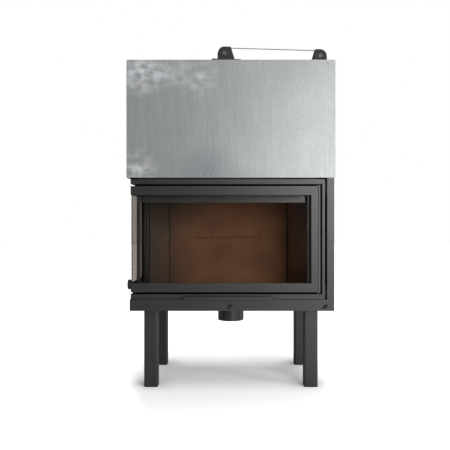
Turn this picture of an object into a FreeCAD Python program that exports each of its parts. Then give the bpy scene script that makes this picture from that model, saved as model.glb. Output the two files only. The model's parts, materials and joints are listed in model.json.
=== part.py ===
import FreeCAD, Part
import math
import os
import types

import Sketcher

# Boiler fireplace with a lifting corner door: a water jacketed firebox on four legs,
# glazed at the front and the left, under a galvanised casing that takes the raised door.
# X runs to the right, Y to the back, Z up, and the floor is at zero.

# Driving dimensions in millimetres
SIZES = {
    # whole stove
    "body_width": 900,
    "body_depth": 530,
    "leg_height": 338,
    "base_height": 49,
    "door_zone_height": 525,
    "casing_height": 508,
    "base_left_inset": 14,
    "base_right_inset": 5,
    "cut_overrun": 5,
    # legs
    "leg_width": 60,
    "leg_wall": 3,
    "leg_corner": 7,
    "leg_side_inset": 70,
    "leg_setback": 40,
    "leg_rear_setback": 10,
    "leg_top_plate": 6,
    "foot_thickness": 5,
    "foot_plug_height": 18,
    "foot_plug_gap": 0.3,
    # base sheets
    "base_sheet": 3,
    "panel_sheet": 2.5,
    "pillar_width": 31,
    "fascia_flange": 37,
    "flange_right_gap": 4,
    "channel_width": 54,
    "left_panel_gap": 4,
    # air intake and its slides
    "spigot_radius": 60,
    "spigot_wall": 2,
    "spigot_drop": 76,
    "spigot_flange": 14,
    "spigot_depth": 254,
    "slide_gap": 0.3,
    "slide_plate": 2,
    "slide_rod_radius": 4,
    "slide_rod_height": 19,
    "slide_front_reach": 12,
    "slide_shank_reach": 3,
    "slide_grip_length": 21,
    "slide_grip_thickness": 6,
    "slide_tab_width": 16,
    "slide_tab_thickness": 3,
    "primary_rod_offset": 5,
    "primary_gate_width": 130,
    "primary_gate_length": 140,
    "secondary_rod_inset": 17,
    "secondary_port_radius": 19,
    "secondary_port_inset": 27,
    "secondary_port_depth": 200,
    "secondary_gate_width": 46,
    "secondary_gate_length": 56,
    # hearth, grate and ash pan
    "hearth_thickness": 15,
    "grate_width": 280,
    "grate_depth": 200,
    "grate_thickness": 17,
    "grate_back_gap": 30,
    "grate_border": 18,
    "grate_slot_width": 9,
    "grate_side_border": 25.5,
    "grate_gap": 1,
    "pan_rim": 13,
    "pan_sheet": 1.5,
    "pan_depth": 35,
    "pan_gap": 2,
    # firebox frame and linings
    "seal_gap": 4,
    "frame_depth": 20,
    "frame_side_width": 15,
    "frame_sill": 50,
    "frame_lintel_drop": 62,
    "frame_lintel_height": 34,
    "frame_jamb": 51,
    "frame_rear_post": 35,
    "right_jacket_width": 46,
    "back_joint_height": 235,
    "back_lining_thickness": 37,
    "left_splay_width": 92,
    "left_splay_depth": 55,
    "right_splay_width": 60,
    "right_lining_lip": 5,
    "air_hole_radius": 3.3,
    "air_hole_pitch": 23.4,
    "air_hole_rise": 7,
    "air_hole_length": 30,
    "baffle_thickness": 20,
    "baffle_setback": 96,
    "wash_bar_sheet": 3,
    "wash_bar_height": 64,
    "wash_bar_top_drop": 14,
    "wash_bar_lip": 14,
    "wash_bar_right_gap": 12,
    # boiler
    "boiler_wall": 4,
    "boiler_back_gap": 3.5,
    "boiler_top_drop": 170,
    "back_jacket_depth": 58,
    "tube_radius": 30,
    "tube_wall": 3,
    "tube_side_inset": 89.25,
    "tube_row_inset": 106.5,
    "hood_inset": 20,
    "hood_height": 90,
    "hood_neck": 270,
    "hood_sheet": 3,
    "flue_radius": 100,
    "flue_wall": 3,
    "flue_flange": 28,
    "flue_collar_height": 118,
    "flue_depth": 290,
    "flue_gap": 4,
    "socket_reach": 45,
    "socket_radius": 21,
    "socket_bore_radius": 15.1,
    "port_radius": 13,
    "socket_gap": 2,
    "socket_spacing": 520,
    "socket_low": 70,
    "socket_top_drop": 63,
    # casing
    "casing_sheet": 1.5,
    "casing_flange": 25,
    "casing_foot": 6,
    "screw_drop": 16,
    "screw_front_inset": 30.75,
    "screw_side_inset": 60,
    "screw_head_radius": 4.5,
    "screw_head_height": 2.2,
    "screw_radius": 2,
    "screw_length": 8,
    "screw_gap": 0.1,
    # lift carriage
    "door_setback": 6,
    "door_rest_gap": 1,
    "door_top_gap": 6,
    "carriage_left_gap": 3,
    "carriage_right_gap": 8,
    "carriage_depth": 34,
    "carriage_side_depth": 17,
    "carriage_return": 374,
    "door_sheet": 3,
    "carriage_lip": 21.5,
    "carriage_side_lip": 12,
    "seal_flange_step": 28,
    "rope_width": 10,
    "rope_inset": 4,
    "rope_gap": 0.3,
    # door leaf and glass
    "leaf_gap": 8,
    "leaf_setback": 2,
    "leaf_depth": 18,
    "leaf_side_depth": 10,
    "leaf_bar": 39,
    "leaf_rear_bar": 25,
    "bead_radius": 4.5,
    "bead_stand": 3.5,
    "bead_rise": 3,
    "hinge_pin_radius": 5,
    "hinge_pin_inset": 10,
    "hinge_pin_setback": 12,
    "glass_thickness": 4,
    "glass_overlap": 15,
    "retainer_width": 30,
    "retainer_sheet": 3,
    # pull handle and latch knob
    "handle_reach": 14,
    "handle_width": 374,
    "handle_root_width": 440,
    "handle_sheet": 3,
    "handle_lip": 11.5,
    "knob_radius": 22,
    "knob_rim_radius": 19,
    "knob_thickness": 13.5,
    "knob_dish": 2,
    "knob_setback": 26,
    "knob_height": 63,
    "knob_rest_gap": 0.3,
    "stud_radius": 5,
    "knob_web": 2.5,
    "running_gap": 0.05,
    # guides and lift
    "guide_rod_radius": 7,
    "guide_right_gap": 18,
    "guide_right_setback": 21,
    "guide_left_inset": 12,
    "guide_left_gap": 15,
    "shoe_half_width": 10,
    "shoe_height": 50,
    "shoe_end_gap": 6,
    "stop_ring_radius": 13,
    "stop_ring_height": 20,
    "stop_ring_drop": 68,
    "anchor_radius": 8,
    "anchor_height": 24,
    "weight_side_gap": 5,
    "weight_right_shift": 3,
    "weight_front_gap": 2,
    "weight_depth": 76,
    "weight_height": 560,
    "weight_top_drop": 42,
    "eye_radius": 7,
    "eye_height": 20,
    # pulleys, brackets and cable
    "front_pulley_left": 28.5,
    "front_pulley_depth": 33,
    "axle_radius": 5,
    "axle_head": 2,
    "cheek_radius": 29,
    "cheek_thickness": 3,
    "cheek_gap": 16,
    "cheek_top_reach": 27,
    "cheek_base_reach": 47,
    "rear_cheek_top_reach": 22,
    "rear_cheek_base_reach": 41,
    "bracket_plate": 6,
    "pulley_gap": 1,
    "bracket_outer_reach": 56,
    "bracket_inner_reach": 70,
    "bracket_plate_width": 52,
    "cable_radius": 2,
    "cable_pitch_radius": 25,
    "cable_groove_gap": 0.3,
    "cable_hole_radius": 7,
    "pulley_rim_rise": 2,
    "pulley_width": 12,
    "pulley_rim_edge": 1.5,
    "pulley_rim_depth": 8,
    "pulley_web": 5,
    "hub_radius": 10,
    "hub_gap": 0.3,
}

# Pure ratios and counts
DIAGONAL_SHARE = math.sqrt(0.5)
FULL_TURN = 360
QUARTER_TURN = 90
AIR_HOLE_COUNT = 14
GRATE_SLOT_COUNT = 11
TUBE_COUNT = 6
TUBE_ROW_COUNT = 2
FRONT_SCREW_SHARES = (-1, -1 / 3, 1 / 3, 1)
SIDE_SCREW_SHARES = (-1, 0, 1)

doc = FreeCAD.newDocument("boiler_fireplace")
sheet = doc.addObject("Spreadsheet::Sheet", "Sizes")
for row, (alias, number) in enumerate(SIZES.items(), start=1):
    sheet.set(f"A{row}", alias.replace("_", " "))
    sheet.set(f"B{row}", str(number))
    sheet.setAlias(f"B{row}", alias)
doc.recompute()


class Measure:
    """A length that keeps its formula over the sheet together with its value."""

    def __init__(self, formula, value):
        self.formula = formula
        self.value = value

    def __add__(self, other):
        return Measure(f"({self.formula} + {other.formula})", self.value + other.value)

    def __sub__(self, other):
        return Measure(f"({self.formula} - {other.formula})", self.value - other.value)

    def __mul__(self, share):
        return Measure(f"({self.formula} * {share})", self.value * share)

    def __truediv__(self, count):
        return Measure(f"({self.formula} / {count})", self.value / count)

    def __neg__(self):
        return Measure(f"(-{self.formula})", -self.value)


s = types.SimpleNamespace(
    **{alias: Measure(f"Sizes.{alias}", float(sheet.get(alias))) for alias in SIZES}
)
ZERO = Measure("0", 0.0)
over = s.cut_overrun
nodes = {}


def bind(item, prop, measure):
    """Ties one property of an object to a formula over the sheet."""
    item.setExpression(prop, measure.formula)


def keep(item, label):
    """Names an object as one piece of the stove."""
    item.Label = label
    nodes[label] = item
    return item


# Sketched features. A plan is drawn from above and built upwards, a front view is built
# towards the back, and a side view is built to the right.
VIEW_PLANES = {"plan": "XY_Plane", "front": "XZ_Plane", "side": "YZ_Plane"}


def new_body(label):
    return doc.addObject("PartDesign::Body", f"{label}_body")


def new_sketch(body, view, level):
    sketch = body.newObject("Sketcher::SketchObject", f"{view}_outline")
    role = VIEW_PLANES[view]
    plane = next(item for item in body.Origin.OriginFeatures if item.Role == role)
    sketch.AttachmentSupport = (plane, [""])
    sketch.MapMode = "FlatFace"
    bind(sketch, "AttachmentOffset.Base.z", -level if view == "front" else level)
    return sketch


def pin(sketch, geometry, point, x, y):
    """Holds one point of a sketch at a place measured from the origin."""
    for kind, place in (("DistanceX", x), ("DistanceY", y)):
        index = sketch.addConstraint(
            Sketcher.Constraint(kind, -1, 1, geometry, point, place.value)
        )
        bind(sketch, f"Constraints[{index}]", place)


def draw_polygon(sketch, corners):
    points = [FreeCAD.Vector(x.value, y.value, 0) for x, y in corners]
    count = len(points)
    for index in range(count):
        sketch.addGeometry(Part.LineSegment(points[index], points[(index + 1) % count]), False)
    for index in range(count):
        sketch.addConstraint(Sketcher.Constraint("Coincident", index, 2, (index + 1) % count, 1))
    for index, (x, y) in enumerate(corners):
        pin(sketch, index, 1, x, y)


def draw_circles(sketch, circles):
    for x, y, radius in circles:
        centre = FreeCAD.Vector(x.value, y.value, 0)
        index = sketch.addGeometry(Part.Circle(centre, FreeCAD.Vector(0, 0, 1), radius.value), False)
        pin(sketch, index, 3, x, y)
        size = sketch.addConstraint(Sketcher.Constraint("Radius", index, radius.value))
        bind(sketch, f"Constraints[{size}]", radius)


def extrude(body, kind, view, sketch, start, end):
    feature = body.newObject(f"PartDesign::{kind}", f"{kind.lower()}_{view}")
    feature.Profile = sketch
    bind(feature, "Length", end - start)
    feature.Reversed = (view == "front") == (kind == "Pad")
    return feature


def pad(body, view, corners, start, end):
    sketch = new_sketch(body, view, start)
    draw_polygon(sketch, corners)
    return extrude(body, "Pad", view, sketch, start, end)


def pocket(body, view, corners, start, end):
    sketch = new_sketch(body, view, start)
    draw_polygon(sketch, corners)
    return extrude(body, "Pocket", view, sketch, start, end)


def round_pad(body, view, circles, start, end):
    sketch = new_sketch(body, view, start)
    draw_circles(sketch, circles)
    return extrude(body, "Pad", view, sketch, start, end)


def drill(body, view, circles, start, end):
    sketch = new_sketch(body, view, start)
    draw_circles(sketch, circles)
    return extrude(body, "Pocket", view, sketch, start, end)


def revolve(body, corners):
    """Turns a half profile of (radius, height) corners about the upright axis of its body."""
    sketch = new_sketch(body, "front", ZERO)
    draw_polygon(sketch, corners)
    feature = body.newObject("PartDesign::Revolution", "turned")
    feature.Profile = sketch
    feature.ReferenceAxis = (sketch, ["V_Axis"])
    feature.Angle = FULL_TURN
    return feature


def loft(body, kind, outlines):
    sketches = []
    for corners, level in outlines:
        sketch = new_sketch(body, "plan", level)
        draw_polygon(sketch, corners)
        sketches.append(sketch)
    feature = body.newObject(f"PartDesign::{kind}", kind)
    feature.Profile = sketches[0]
    feature.Sections = sketches[1:]
    feature.Ruled = True
    return feature


def repeat(body, feature, axis, count, length):
    """A row of copies of one feature along an axis of its body."""
    pattern = body.newObject("PartDesign::LinearPattern", "row")
    pattern.Originals = [feature]
    line = next(item for item in body.Origin.OriginFeatures if item.Role == axis)
    pattern.Direction = (line, [""])
    pattern.Occurrences = count
    bind(pattern, "Length", length)
    body.Tip = pattern
    return pattern


def round_upright_edges(body, feature, radius):
    doc.recompute()
    names = []
    for index, edge in enumerate(feature.Shape.Edges, start=1):
        first, last = (vertex.Point for vertex in edge.Vertexes)
        if math.isclose(first.x, last.x) and math.isclose(first.y, last.y):
            names.append(f"Edge{index}")
    fillet = body.newObject("PartDesign::Fillet", "round_edges")
    fillet.Base = (feature, names)
    bind(fillet, "Radius", radius)
    return fillet


def rectangle(x0, x1, y0, y1):
    return [(x0, y0), (x1, y0), (x1, y1), (x0, y1)]


def corner_plan(left, right, front, back, front_depth, side_depth):
    """An angle in plan: one arm along the front, the other along the left side."""
    return [
        (left, front),
        (right, front),
        (right, front + front_depth),
        (left + side_depth, front + front_depth),
        (left + side_depth, back),
        (left, back),
    ]


def place(item, x, y, z):
    for axis, measure in (("x", x), ("y", y), ("z", z)):
        bind(item, f"Placement.Base.{axis}", measure)


# Plain solids and their combinations
def block(name, x, y, z):
    """A box between two planes along each axis."""
    box = doc.addObject("Part::Box", name)
    for prop, (low, high) in (("Length", x), ("Width", y), ("Height", z)):
        bind(box, prop, high - low)
    place(box, x[0], y[0], z[0])
    return box


AXIS_TURNS = {
    "x": FreeCAD.Rotation(FreeCAD.Vector(0, 1, 0), QUARTER_TURN),
    "y": FreeCAD.Rotation(FreeCAD.Vector(1, 0, 0), -QUARTER_TURN),
    "z": FreeCAD.Rotation(),
}


def cylinder(name, radius, length, start, axis):
    """A round bar from its start point along one axis."""
    bar = doc.addObject("Part::Cylinder", name)
    bind(bar, "Radius", radius)
    bind(bar, "Height", length)
    bar.Placement = FreeCAD.Placement(FreeCAD.Vector(), AXIS_TURNS[axis])
    place(bar, *start)
    return bar


def join(name, parts):
    fused = doc.addObject("Part::MultiFuse", name)
    fused.Shapes = parts
    return fused


def cut(name, base, tool):
    result = doc.addObject("Part::Cut", name)
    result.Base = base
    result.Tool = tool
    return result


def group(label, parts):
    """Several separate solids kept as one piece."""
    compound = doc.addObject("Part::Compound", label)
    compound.Links = parts
    return keep(compound, label)


# Main planes
half_width = s.body_width / 2
front = s.handle_reach - (s.handle_reach + s.body_depth + s.socket_reach) / 2
back = front + s.body_depth
base_top = s.leg_height + s.base_height
casing_bottom = base_top + s.door_zone_height
casing_top = casing_bottom + s.casing_height
tray_floor = s.leg_height + s.base_sheet
base_left = s.base_left_inset - half_width
base_right = half_width - s.base_right_inset
base_inner_right = base_right - s.panel_sheet
base_back = back - s.casing_sheet
base_front = front + s.base_sheet
pillar_left = base_right - s.pillar_width
deck_right = base_inner_right - s.channel_width


# Legs with their end caps
def leg(name, x, y):
    half = s.leg_width / 2
    inner = half - s.leg_wall
    body = new_body(name)
    tube = pad(body, "plan", rectangle(x - half, x + half, y - half, y + half),
               s.foot_thickness, s.leg_height)
    round_upright_edges(body, tube, s.leg_corner)
    pocket(body, "plan", rectangle(x - inner, x + inner, y - inner, y + inner),
           s.foot_thickness - over, s.leg_height - s.leg_top_plate)
    return body


def leg_cap(name, x, y):
    half = s.leg_width / 2
    plug = half - s.leg_wall - s.foot_plug_gap
    body = new_body(name)
    sole = pad(body, "plan", rectangle(x - half, x + half, y - half, y + half),
               ZERO, s.foot_thickness)
    round_upright_edges(body, sole, s.leg_corner)
    pad(body, "plan", rectangle(x - plug, x + plug, y - plug, y + plug),
        s.foot_thickness, s.foot_thickness + s.foot_plug_height)
    return body


leg_front_y = front + s.leg_setback + s.leg_width / 2
leg_rear_y = back - s.leg_rear_setback - s.leg_width / 2
leg_x = half_width - s.leg_side_inset - s.leg_width / 2
for row_name, y in (("front_legs", leg_front_y), ("rear_legs", leg_rear_y)):
    group(row_name, [leg(f"{row_name}_{side}", x, y) for side, x in (("left", -leg_x), ("right", leg_x))])
caps = []
for row_name, y in (("front", leg_front_y), ("rear", leg_rear_y)):
    for side, x in (("left", -leg_x), ("right", leg_x)):
        caps.append(leg_cap(f"cap_{row_name}_{side}", x, y))
group("leg_end_caps", caps)

# Base tray: floor with the air openings and an upright left edge
spigot_y = front + s.spigot_depth
port_x = base_inner_right - s.secondary_port_inset
port_y = front + s.secondary_port_depth
tray = new_body("base_tray")
pad(tray, "front", [
    (base_left, s.leg_height),
    (base_inner_right, s.leg_height),
    (base_inner_right, tray_floor),
    (base_left + s.base_sheet, tray_floor),
    (base_left + s.base_sheet, base_top - s.base_sheet),
    (base_left, base_top - s.base_sheet),
], base_front, base_back)
drill(tray, "plan", [
    (ZERO, spigot_y, s.spigot_radius),
    (port_x, port_y, s.secondary_port_radius),
], s.leg_height - over, tray_floor + over)
keep(tray, "base_tray")

# Front fascia: skirt and right pillar in one sheet, with a flange behind its upper edge
rod_z = s.leg_height + s.slide_rod_height
primary_x = -s.primary_rod_offset
secondary_x = deck_right + s.secondary_rod_inset
fascia = new_body("front_fascia")
pad(fascia, "front", [
    (base_left, s.leg_height),
    (base_right, s.leg_height),
    (base_right, casing_bottom),
    (pillar_left, casing_bottom),
    (pillar_left, base_top),
    (base_left, base_top),
], front, base_front)
flange_right = pillar_left - s.flange_right_gap
pad(fascia, "plan", rectangle(base_left, flange_right, base_front, base_front + s.fascia_flange),
    base_top - s.base_sheet, base_top)
rod_hole = s.slide_rod_radius + s.slide_gap
drill(fascia, "front", [(primary_x, rod_z, rod_hole), (secondary_x, rod_z, rod_hole)],
      front - over, base_front + over)
keep(fascia, "front_fascia")

# Base deck: carries the firebox, open over the ash pan, with a leg down to the tray floor
deck_front = base_front + s.fascia_flange
jacket_back = base_back - s.boiler_back_gap
firebox_back = jacket_back - s.back_jacket_depth
brick_front = firebox_back - s.back_lining_thickness
grate_y = brick_front - s.grate_back_gap - s.grate_depth / 2
pan_half_x = s.grate_width / 2 - s.pan_rim
pan_half_y = s.grate_depth / 2 - s.pan_rim
deck = new_body("base_deck")
pad(deck, "front", [
    (base_left, base_top),
    (deck_right, base_top),
    (deck_right, tray_floor),
    (deck_right - s.base_sheet, tray_floor),
    (deck_right - s.base_sheet, base_top - s.base_sheet),
    (base_left, base_top - s.base_sheet),
], deck_front, base_back)
pan_room_x = pan_half_x + s.pan_gap
pan_room_y = pan_half_y + s.pan_gap
pocket(deck, "plan", rectangle(-pan_room_x, pan_room_x, grate_y - pan_room_y, grate_y + pan_room_y),
       base_top - s.base_sheet - over, base_top + over)
keep(deck, "base_deck")

# Outer panels of the lower body; the left one starts behind the lifting door
carriage_front = front + s.door_setback
carriage_back = carriage_front + s.carriage_return
left_panel_front = carriage_back + s.left_panel_gap
socket_x = s.socket_spacing / 2
socket_hole = s.socket_radius + s.socket_gap
low_socket_z = base_top + s.socket_low
boiler_top = casing_top - s.boiler_top_drop
high_socket_z = boiler_top - s.socket_top_drop
right_panel = block("right_panel_sheet", (base_inner_right, base_right), (base_front, base_back),
                    (s.leg_height, casing_bottom))
keep(right_panel, "right_side_panel")
left_panel = block("left_panel_sheet", (base_left, base_left + s.panel_sheet),
                   (left_panel_front, base_back), (base_top, casing_bottom))
keep(left_panel, "left_rear_panel")
back_panel = new_body("lower_back_panel")
pad(back_panel, "front", rectangle(base_left, base_right, s.leg_height, casing_bottom), base_back, back)
drill(back_panel, "front", [(-socket_x, low_socket_z, socket_hole), (socket_x, low_socket_z, socket_hole)],
      base_back - over, back + over)
keep(back_panel, "lower_back_panel")

# Air intake spigot, turned, with a flange under the tray
spigot = new_body("air_intake_spigot")
spigot_bore = s.spigot_radius - s.spigot_wall
spigot_top = s.spigot_drop + s.base_sheet
revolve(spigot, [
    (spigot_bore, ZERO),
    (s.spigot_radius, ZERO),
    (s.spigot_radius, s.spigot_drop - s.spigot_wall),
    (s.spigot_radius + s.spigot_flange, s.spigot_drop - s.spigot_wall),
    (s.spigot_radius + s.spigot_flange, s.spigot_drop),
    (s.spigot_radius, s.spigot_drop),
    (s.spigot_radius, spigot_top),
    (spigot_bore, spigot_top),
])
place(spigot, ZERO, spigot_y, s.leg_height - s.spigot_drop)
keep(spigot, "air_intake_spigot")


# Air slides: a gate on the tray floor, an upright tab, a rod and a slanted grip
def air_slide(label, gate_x, gate_y, gate_width, gate_length, rod_x):
    gate_bottom = tray_floor + s.slide_gap
    gate_top = gate_bottom + s.slide_plate
    gate_front = gate_y - gate_length / 2
    tab_half = s.slide_tab_width / 2
    body = new_body(label)
    pad(body, "plan", rectangle(gate_x - gate_width / 2, gate_x + gate_width / 2,
                                gate_front, gate_y + gate_length / 2), gate_bottom, gate_top)
    pad(body, "front", rectangle(rod_x - tab_half, rod_x + tab_half,
                                 gate_bottom, rod_z + s.slide_rod_radius),
        gate_front, gate_front + s.slide_tab_thickness)
    round_pad(body, "front", [(rod_x, rod_z, s.slide_rod_radius)],
              front - s.slide_shank_reach, gate_front)
    along = s.slide_grip_length * (DIAGONAL_SHARE / 2)
    across = s.slide_grip_thickness * (DIAGONAL_SHARE / 2)
    pad(body, "front", [
        (rod_x - along + across, rod_z - along - across),
        (rod_x + along + across, rod_z + along - across),
        (rod_x + along - across, rod_z + along + across),
        (rod_x - along - across, rod_z - along + across),
    ], front - s.slide_front_reach, front - s.slide_shank_reach)
    keep(body, label)


air_slide("primary_air_slide", ZERO, spigot_y, s.primary_gate_width, s.primary_gate_length, primary_x)
air_slide("secondary_air_slide", port_x, port_y, s.secondary_gate_width, s.secondary_gate_length,
          secondary_x)

# Lift carriage: a channel section ring that wraps round the front and the left side
carriage_left = base_left + s.carriage_left_gap
carriage_right = pillar_left - s.carriage_right_gap
carriage_bottom = base_top + s.door_rest_gap
carriage_top = casing_bottom - s.door_top_gap
recess_right = carriage_right - s.carriage_side_lip
recess_back = carriage_back - s.carriage_side_lip
recess_bottom = carriage_bottom + s.carriage_lip
recess_top = carriage_top - s.carriage_lip
view_right = recess_right - s.seal_flange_step
view_back = recess_back - s.seal_flange_step
view_bottom = recess_bottom + s.seal_flange_step
view_top = recess_top - s.seal_flange_step
wall = s.door_sheet
carriage = new_body("lift_carriage")
pad(carriage, "plan",
    corner_plan(carriage_left, carriage_right, carriage_front, carriage_back,
                s.carriage_depth, s.carriage_side_depth),
    carriage_bottom, carriage_top)
pocket(carriage, "plan",
       corner_plan(carriage_left + wall, carriage_right - wall, carriage_front + wall,
                   carriage_back - wall, s.carriage_depth - wall * 2, s.carriage_side_depth - wall * 2),
       carriage_bottom + wall, carriage_top - wall)
pocket(carriage, "plan",
       corner_plan(carriage_left - over, recess_right, carriage_front - over, recess_back,
                   s.carriage_depth - wall + over, s.carriage_side_depth - wall + over),
       recess_bottom, recess_top)
pocket(carriage, "plan",
       corner_plan(carriage_left - over, view_right, carriage_front - over, view_back,
                   s.carriage_depth + over * 2, s.carriage_side_depth + over * 2),
       view_bottom, view_top)
keep(carriage, "lift_carriage")

# Door leaf: angle section bars, no upright at the glass corner, a round bead on the hinge edge
leaf_left = carriage_left
leaf_right = recess_right - s.leaf_gap
leaf_front = carriage_front + s.leaf_setback
leaf_back = recess_back - s.leaf_gap
leaf_bottom = recess_bottom + s.leaf_gap
leaf_top = recess_top - s.leaf_gap
pane_right = leaf_right - s.leaf_bar
pane_back = leaf_back - s.leaf_rear_bar
pane_bottom = leaf_bottom + s.leaf_bar
pane_top = leaf_top - s.leaf_bar
leaf = new_body("door_leaf")
pad(leaf, "plan",
    corner_plan(leaf_left, leaf_right, leaf_front, leaf_back, s.leaf_depth, s.leaf_side_depth),
    leaf_bottom, leaf_top)
pocket(leaf, "plan",
       corner_plan(leaf_left + wall, leaf_right - wall, leaf_front + wall, leaf_back - wall,
                   s.leaf_depth - wall + over, s.leaf_side_depth - wall + over),
       leaf_bottom + wall, leaf_top - wall)
pocket(leaf, "plan",
       corner_plan(leaf_left - over, pane_right, leaf_front - over, pane_back,
                   s.leaf_depth + over * 2, s.leaf_side_depth + over * 2),
       pane_bottom, pane_top)
round_pad(leaf, "plan",
          [(leaf_right - s.bead_radius, leaf_front + s.bead_radius - s.bead_stand, s.bead_radius)],
          leaf_bottom - s.bead_rise, leaf_top + s.bead_rise)
keep(leaf, "door_leaf")

# Pins that hang the leaf in the carriage
pin_x = leaf_right - s.hinge_pin_inset
pin_y = leaf_front + s.hinge_pin_setback
lower_pin_z = carriage_bottom + wall
group("leaf_hinge_pins", [
    cylinder("lower_pin", s.hinge_pin_radius, leaf_bottom - lower_pin_z, (pin_x, pin_y, lower_pin_z), "z"),
    cylinder("upper_pin", s.hinge_pin_radius, carriage_top - wall - leaf_top, (pin_x, pin_y, leaf_top), "z"),
])

# Glass panes, butted at the corner behind the bars of the leaf
glass_left = leaf_left + wall
glass_front = leaf_front + wall
glass_right = pane_right + s.glass_overlap
glass_back = pane_back + s.glass_overlap
glass_z = (pane_bottom - s.glass_overlap, pane_top + s.glass_overlap)
behind_glass = glass_front + s.glass_thickness
keep(block("front_pane", (glass_left, glass_right), (glass_front, behind_glass), glass_z), "front_glass")
keep(block("side_pane", (glass_left, glass_left + s.glass_thickness), (behind_glass, glass_back), glass_z),
     "side_glass")

# Retaining strips that clamp the panes to the leaf
strip_left = glass_left + s.glass_thickness
strip_right = leaf_right - wall
strip_back = leaf_back - wall
strip_low = (leaf_bottom + wall, leaf_bottom + wall + s.retainer_width)
strip_high = (leaf_top - wall - s.retainer_width, leaf_top - wall)
strips = []
for name, (low, high) in (("lower_strip", strip_low), ("upper_strip", strip_high)):
    strip = new_body(name)
    pad(strip, "plan", corner_plan(strip_left, strip_right, behind_glass, strip_back,
                                   s.retainer_sheet, s.retainer_sheet), low, high)
    strips.append(strip)
strips.append(block("right_strip", (strip_right - s.retainer_width, strip_right),
                    (behind_glass, behind_glass + s.retainer_sheet), (strip_low[1], strip_high[0])))
strips.append(block("rear_strip", (strip_left, strip_left + s.retainer_sheet),
                    (strip_back - s.retainer_width, strip_back), (strip_low[1], strip_high[0])))
group("glass_retainers", strips)


# Rope seals: closed on three sides and open at the glass corner like the frames they lie on
def rope_ring(label, left, right, front_face, back_end, front_depth, side_depth, bottom, top):
    ring = new_body(label)
    pad(ring, "plan", corner_plan(left, right, front_face, back_end, front_depth, side_depth), bottom, top)
    pocket(ring, "plan",
           corner_plan(left - over, right - s.rope_width, front_face - over, back_end - s.rope_width,
                       front_depth + over * 2, side_depth + over * 2),
           bottom + s.rope_width, top - s.rope_width)
    keep(ring, label)


rope_ring("leaf_rope_seal", leaf_left + s.leaf_side_depth, leaf_right, leaf_front + s.leaf_depth, leaf_back,
          s.carriage_depth - wall - s.leaf_setback - s.leaf_depth,
          s.carriage_side_depth - wall - s.leaf_side_depth, leaf_bottom, leaf_top)
frame_left = carriage_left + s.carriage_side_depth + s.seal_gap
frame_front = carriage_front + s.carriage_depth + s.seal_gap
rope_depth = s.seal_gap - s.rope_gap
rope_reach = s.rope_inset + s.rope_width
rope_ring("frame_rope_seal", frame_left - rope_depth, view_right + rope_reach, frame_front - rope_depth,
          view_back + rope_reach, rope_depth, rope_depth, view_bottom - rope_reach, view_top + rope_reach)

# Pull handle: a folded sheet with slanted ends under the lower bar of the carriage
handle_x = (carriage_left + carriage_right) / 2
lip_half = s.handle_width / 2
root_half = s.handle_root_width / 2
handle_front = front - s.handle_reach
handle = new_body("lift_handle")
pad(handle, "plan", [
    (handle_x - lip_half, handle_front),
    (handle_x + lip_half, handle_front),
    (handle_x + root_half, carriage_front),
    (handle_x - root_half, carriage_front),
], carriage_bottom, carriage_bottom + s.handle_sheet)
pad(handle, "plan", rectangle(handle_x - lip_half, handle_x + lip_half, handle_front,
                              handle_front + s.handle_sheet),
    carriage_bottom, carriage_bottom + s.handle_lip)
keep(handle, "lift_handle")

# Latch knob, turned, on a fixed stud at the left side of the leaf
knob_y = front + s.knob_setback
knob_z = base_top + s.knob_height
stud_length = s.knob_thickness - s.knob_dish - s.knob_web
stud = cylinder("stud_bar", s.stud_radius, stud_length, (leaf_left - stud_length, knob_y, knob_z), "x")
keep(stud, "latch_stud")
knob_face = s.knob_rest_gap + s.knob_thickness
knob = new_body("latch_knob")
revolve(knob, [
    (s.stud_radius + s.running_gap, s.knob_rest_gap),
    (s.knob_rim_radius, s.knob_rest_gap),
    (s.knob_radius, s.knob_rest_gap + s.knob_thickness / 3),
    (s.knob_radius, knob_face - s.knob_thickness / 3),
    (s.knob_rim_radius, knob_face),
    (ZERO, knob_face - s.knob_dish),
    (ZERO, stud_length + s.knob_rest_gap),
    (s.stud_radius + s.running_gap, stud_length + s.knob_rest_gap),
])
knob.Placement = FreeCAD.Placement(FreeCAD.Vector(), FreeCAD.Rotation(FreeCAD.Vector(0, 1, 0), -QUARTER_TURN))
place(knob, leaf_left, knob_y, knob_z)
keep(knob, "latch_knob")

# Firebox frame: sills, lintels, right jamb, corner post and rear post in one welded piece
firebox_left = frame_left + s.frame_side_width
firebox_front = frame_front + s.frame_depth
jacket_right = deck_right - s.base_sheet
firebox_right = jacket_right - s.right_jacket_width
lintel_bottom = casing_bottom - s.frame_lintel_drop
frame_top = lintel_bottom + s.frame_lintel_height
frame_back = view_back + s.frame_rear_post
sill_top = base_top + s.frame_sill
firebox_frame = new_body("firebox_frame")
pad(firebox_frame, "plan",
    corner_plan(frame_left, jacket_right, frame_front, frame_back, s.frame_depth, s.frame_side_width),
    base_top, frame_top)
pocket(firebox_frame, "front", rectangle(firebox_left, jacket_right - s.frame_jamb, sill_top, lintel_bottom),
       frame_front - over, firebox_front + over)
pocket(firebox_frame, "side", rectangle(firebox_front, view_back, sill_top, lintel_bottom),
       frame_left - over, firebox_left + over)
keep(firebox_frame, "firebox_frame")

# Hearth plate with the cast grate, and the ash pan hung under it by its rim
hearth_top = base_top + s.hearth_thickness
room_x = s.grate_width / 2 + s.grate_gap
room_y = s.grate_depth / 2 + s.grate_gap
hearth = new_body("hearth_plate")
pad(hearth, "plan", rectangle(firebox_left, firebox_right, firebox_front, firebox_back), base_top, hearth_top)
pocket(hearth, "plan", rectangle(-room_x, room_x, grate_y - room_y, grate_y + room_y),
       base_top - over, hearth_top + over)
keep(hearth, "hearth_plate")

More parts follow.
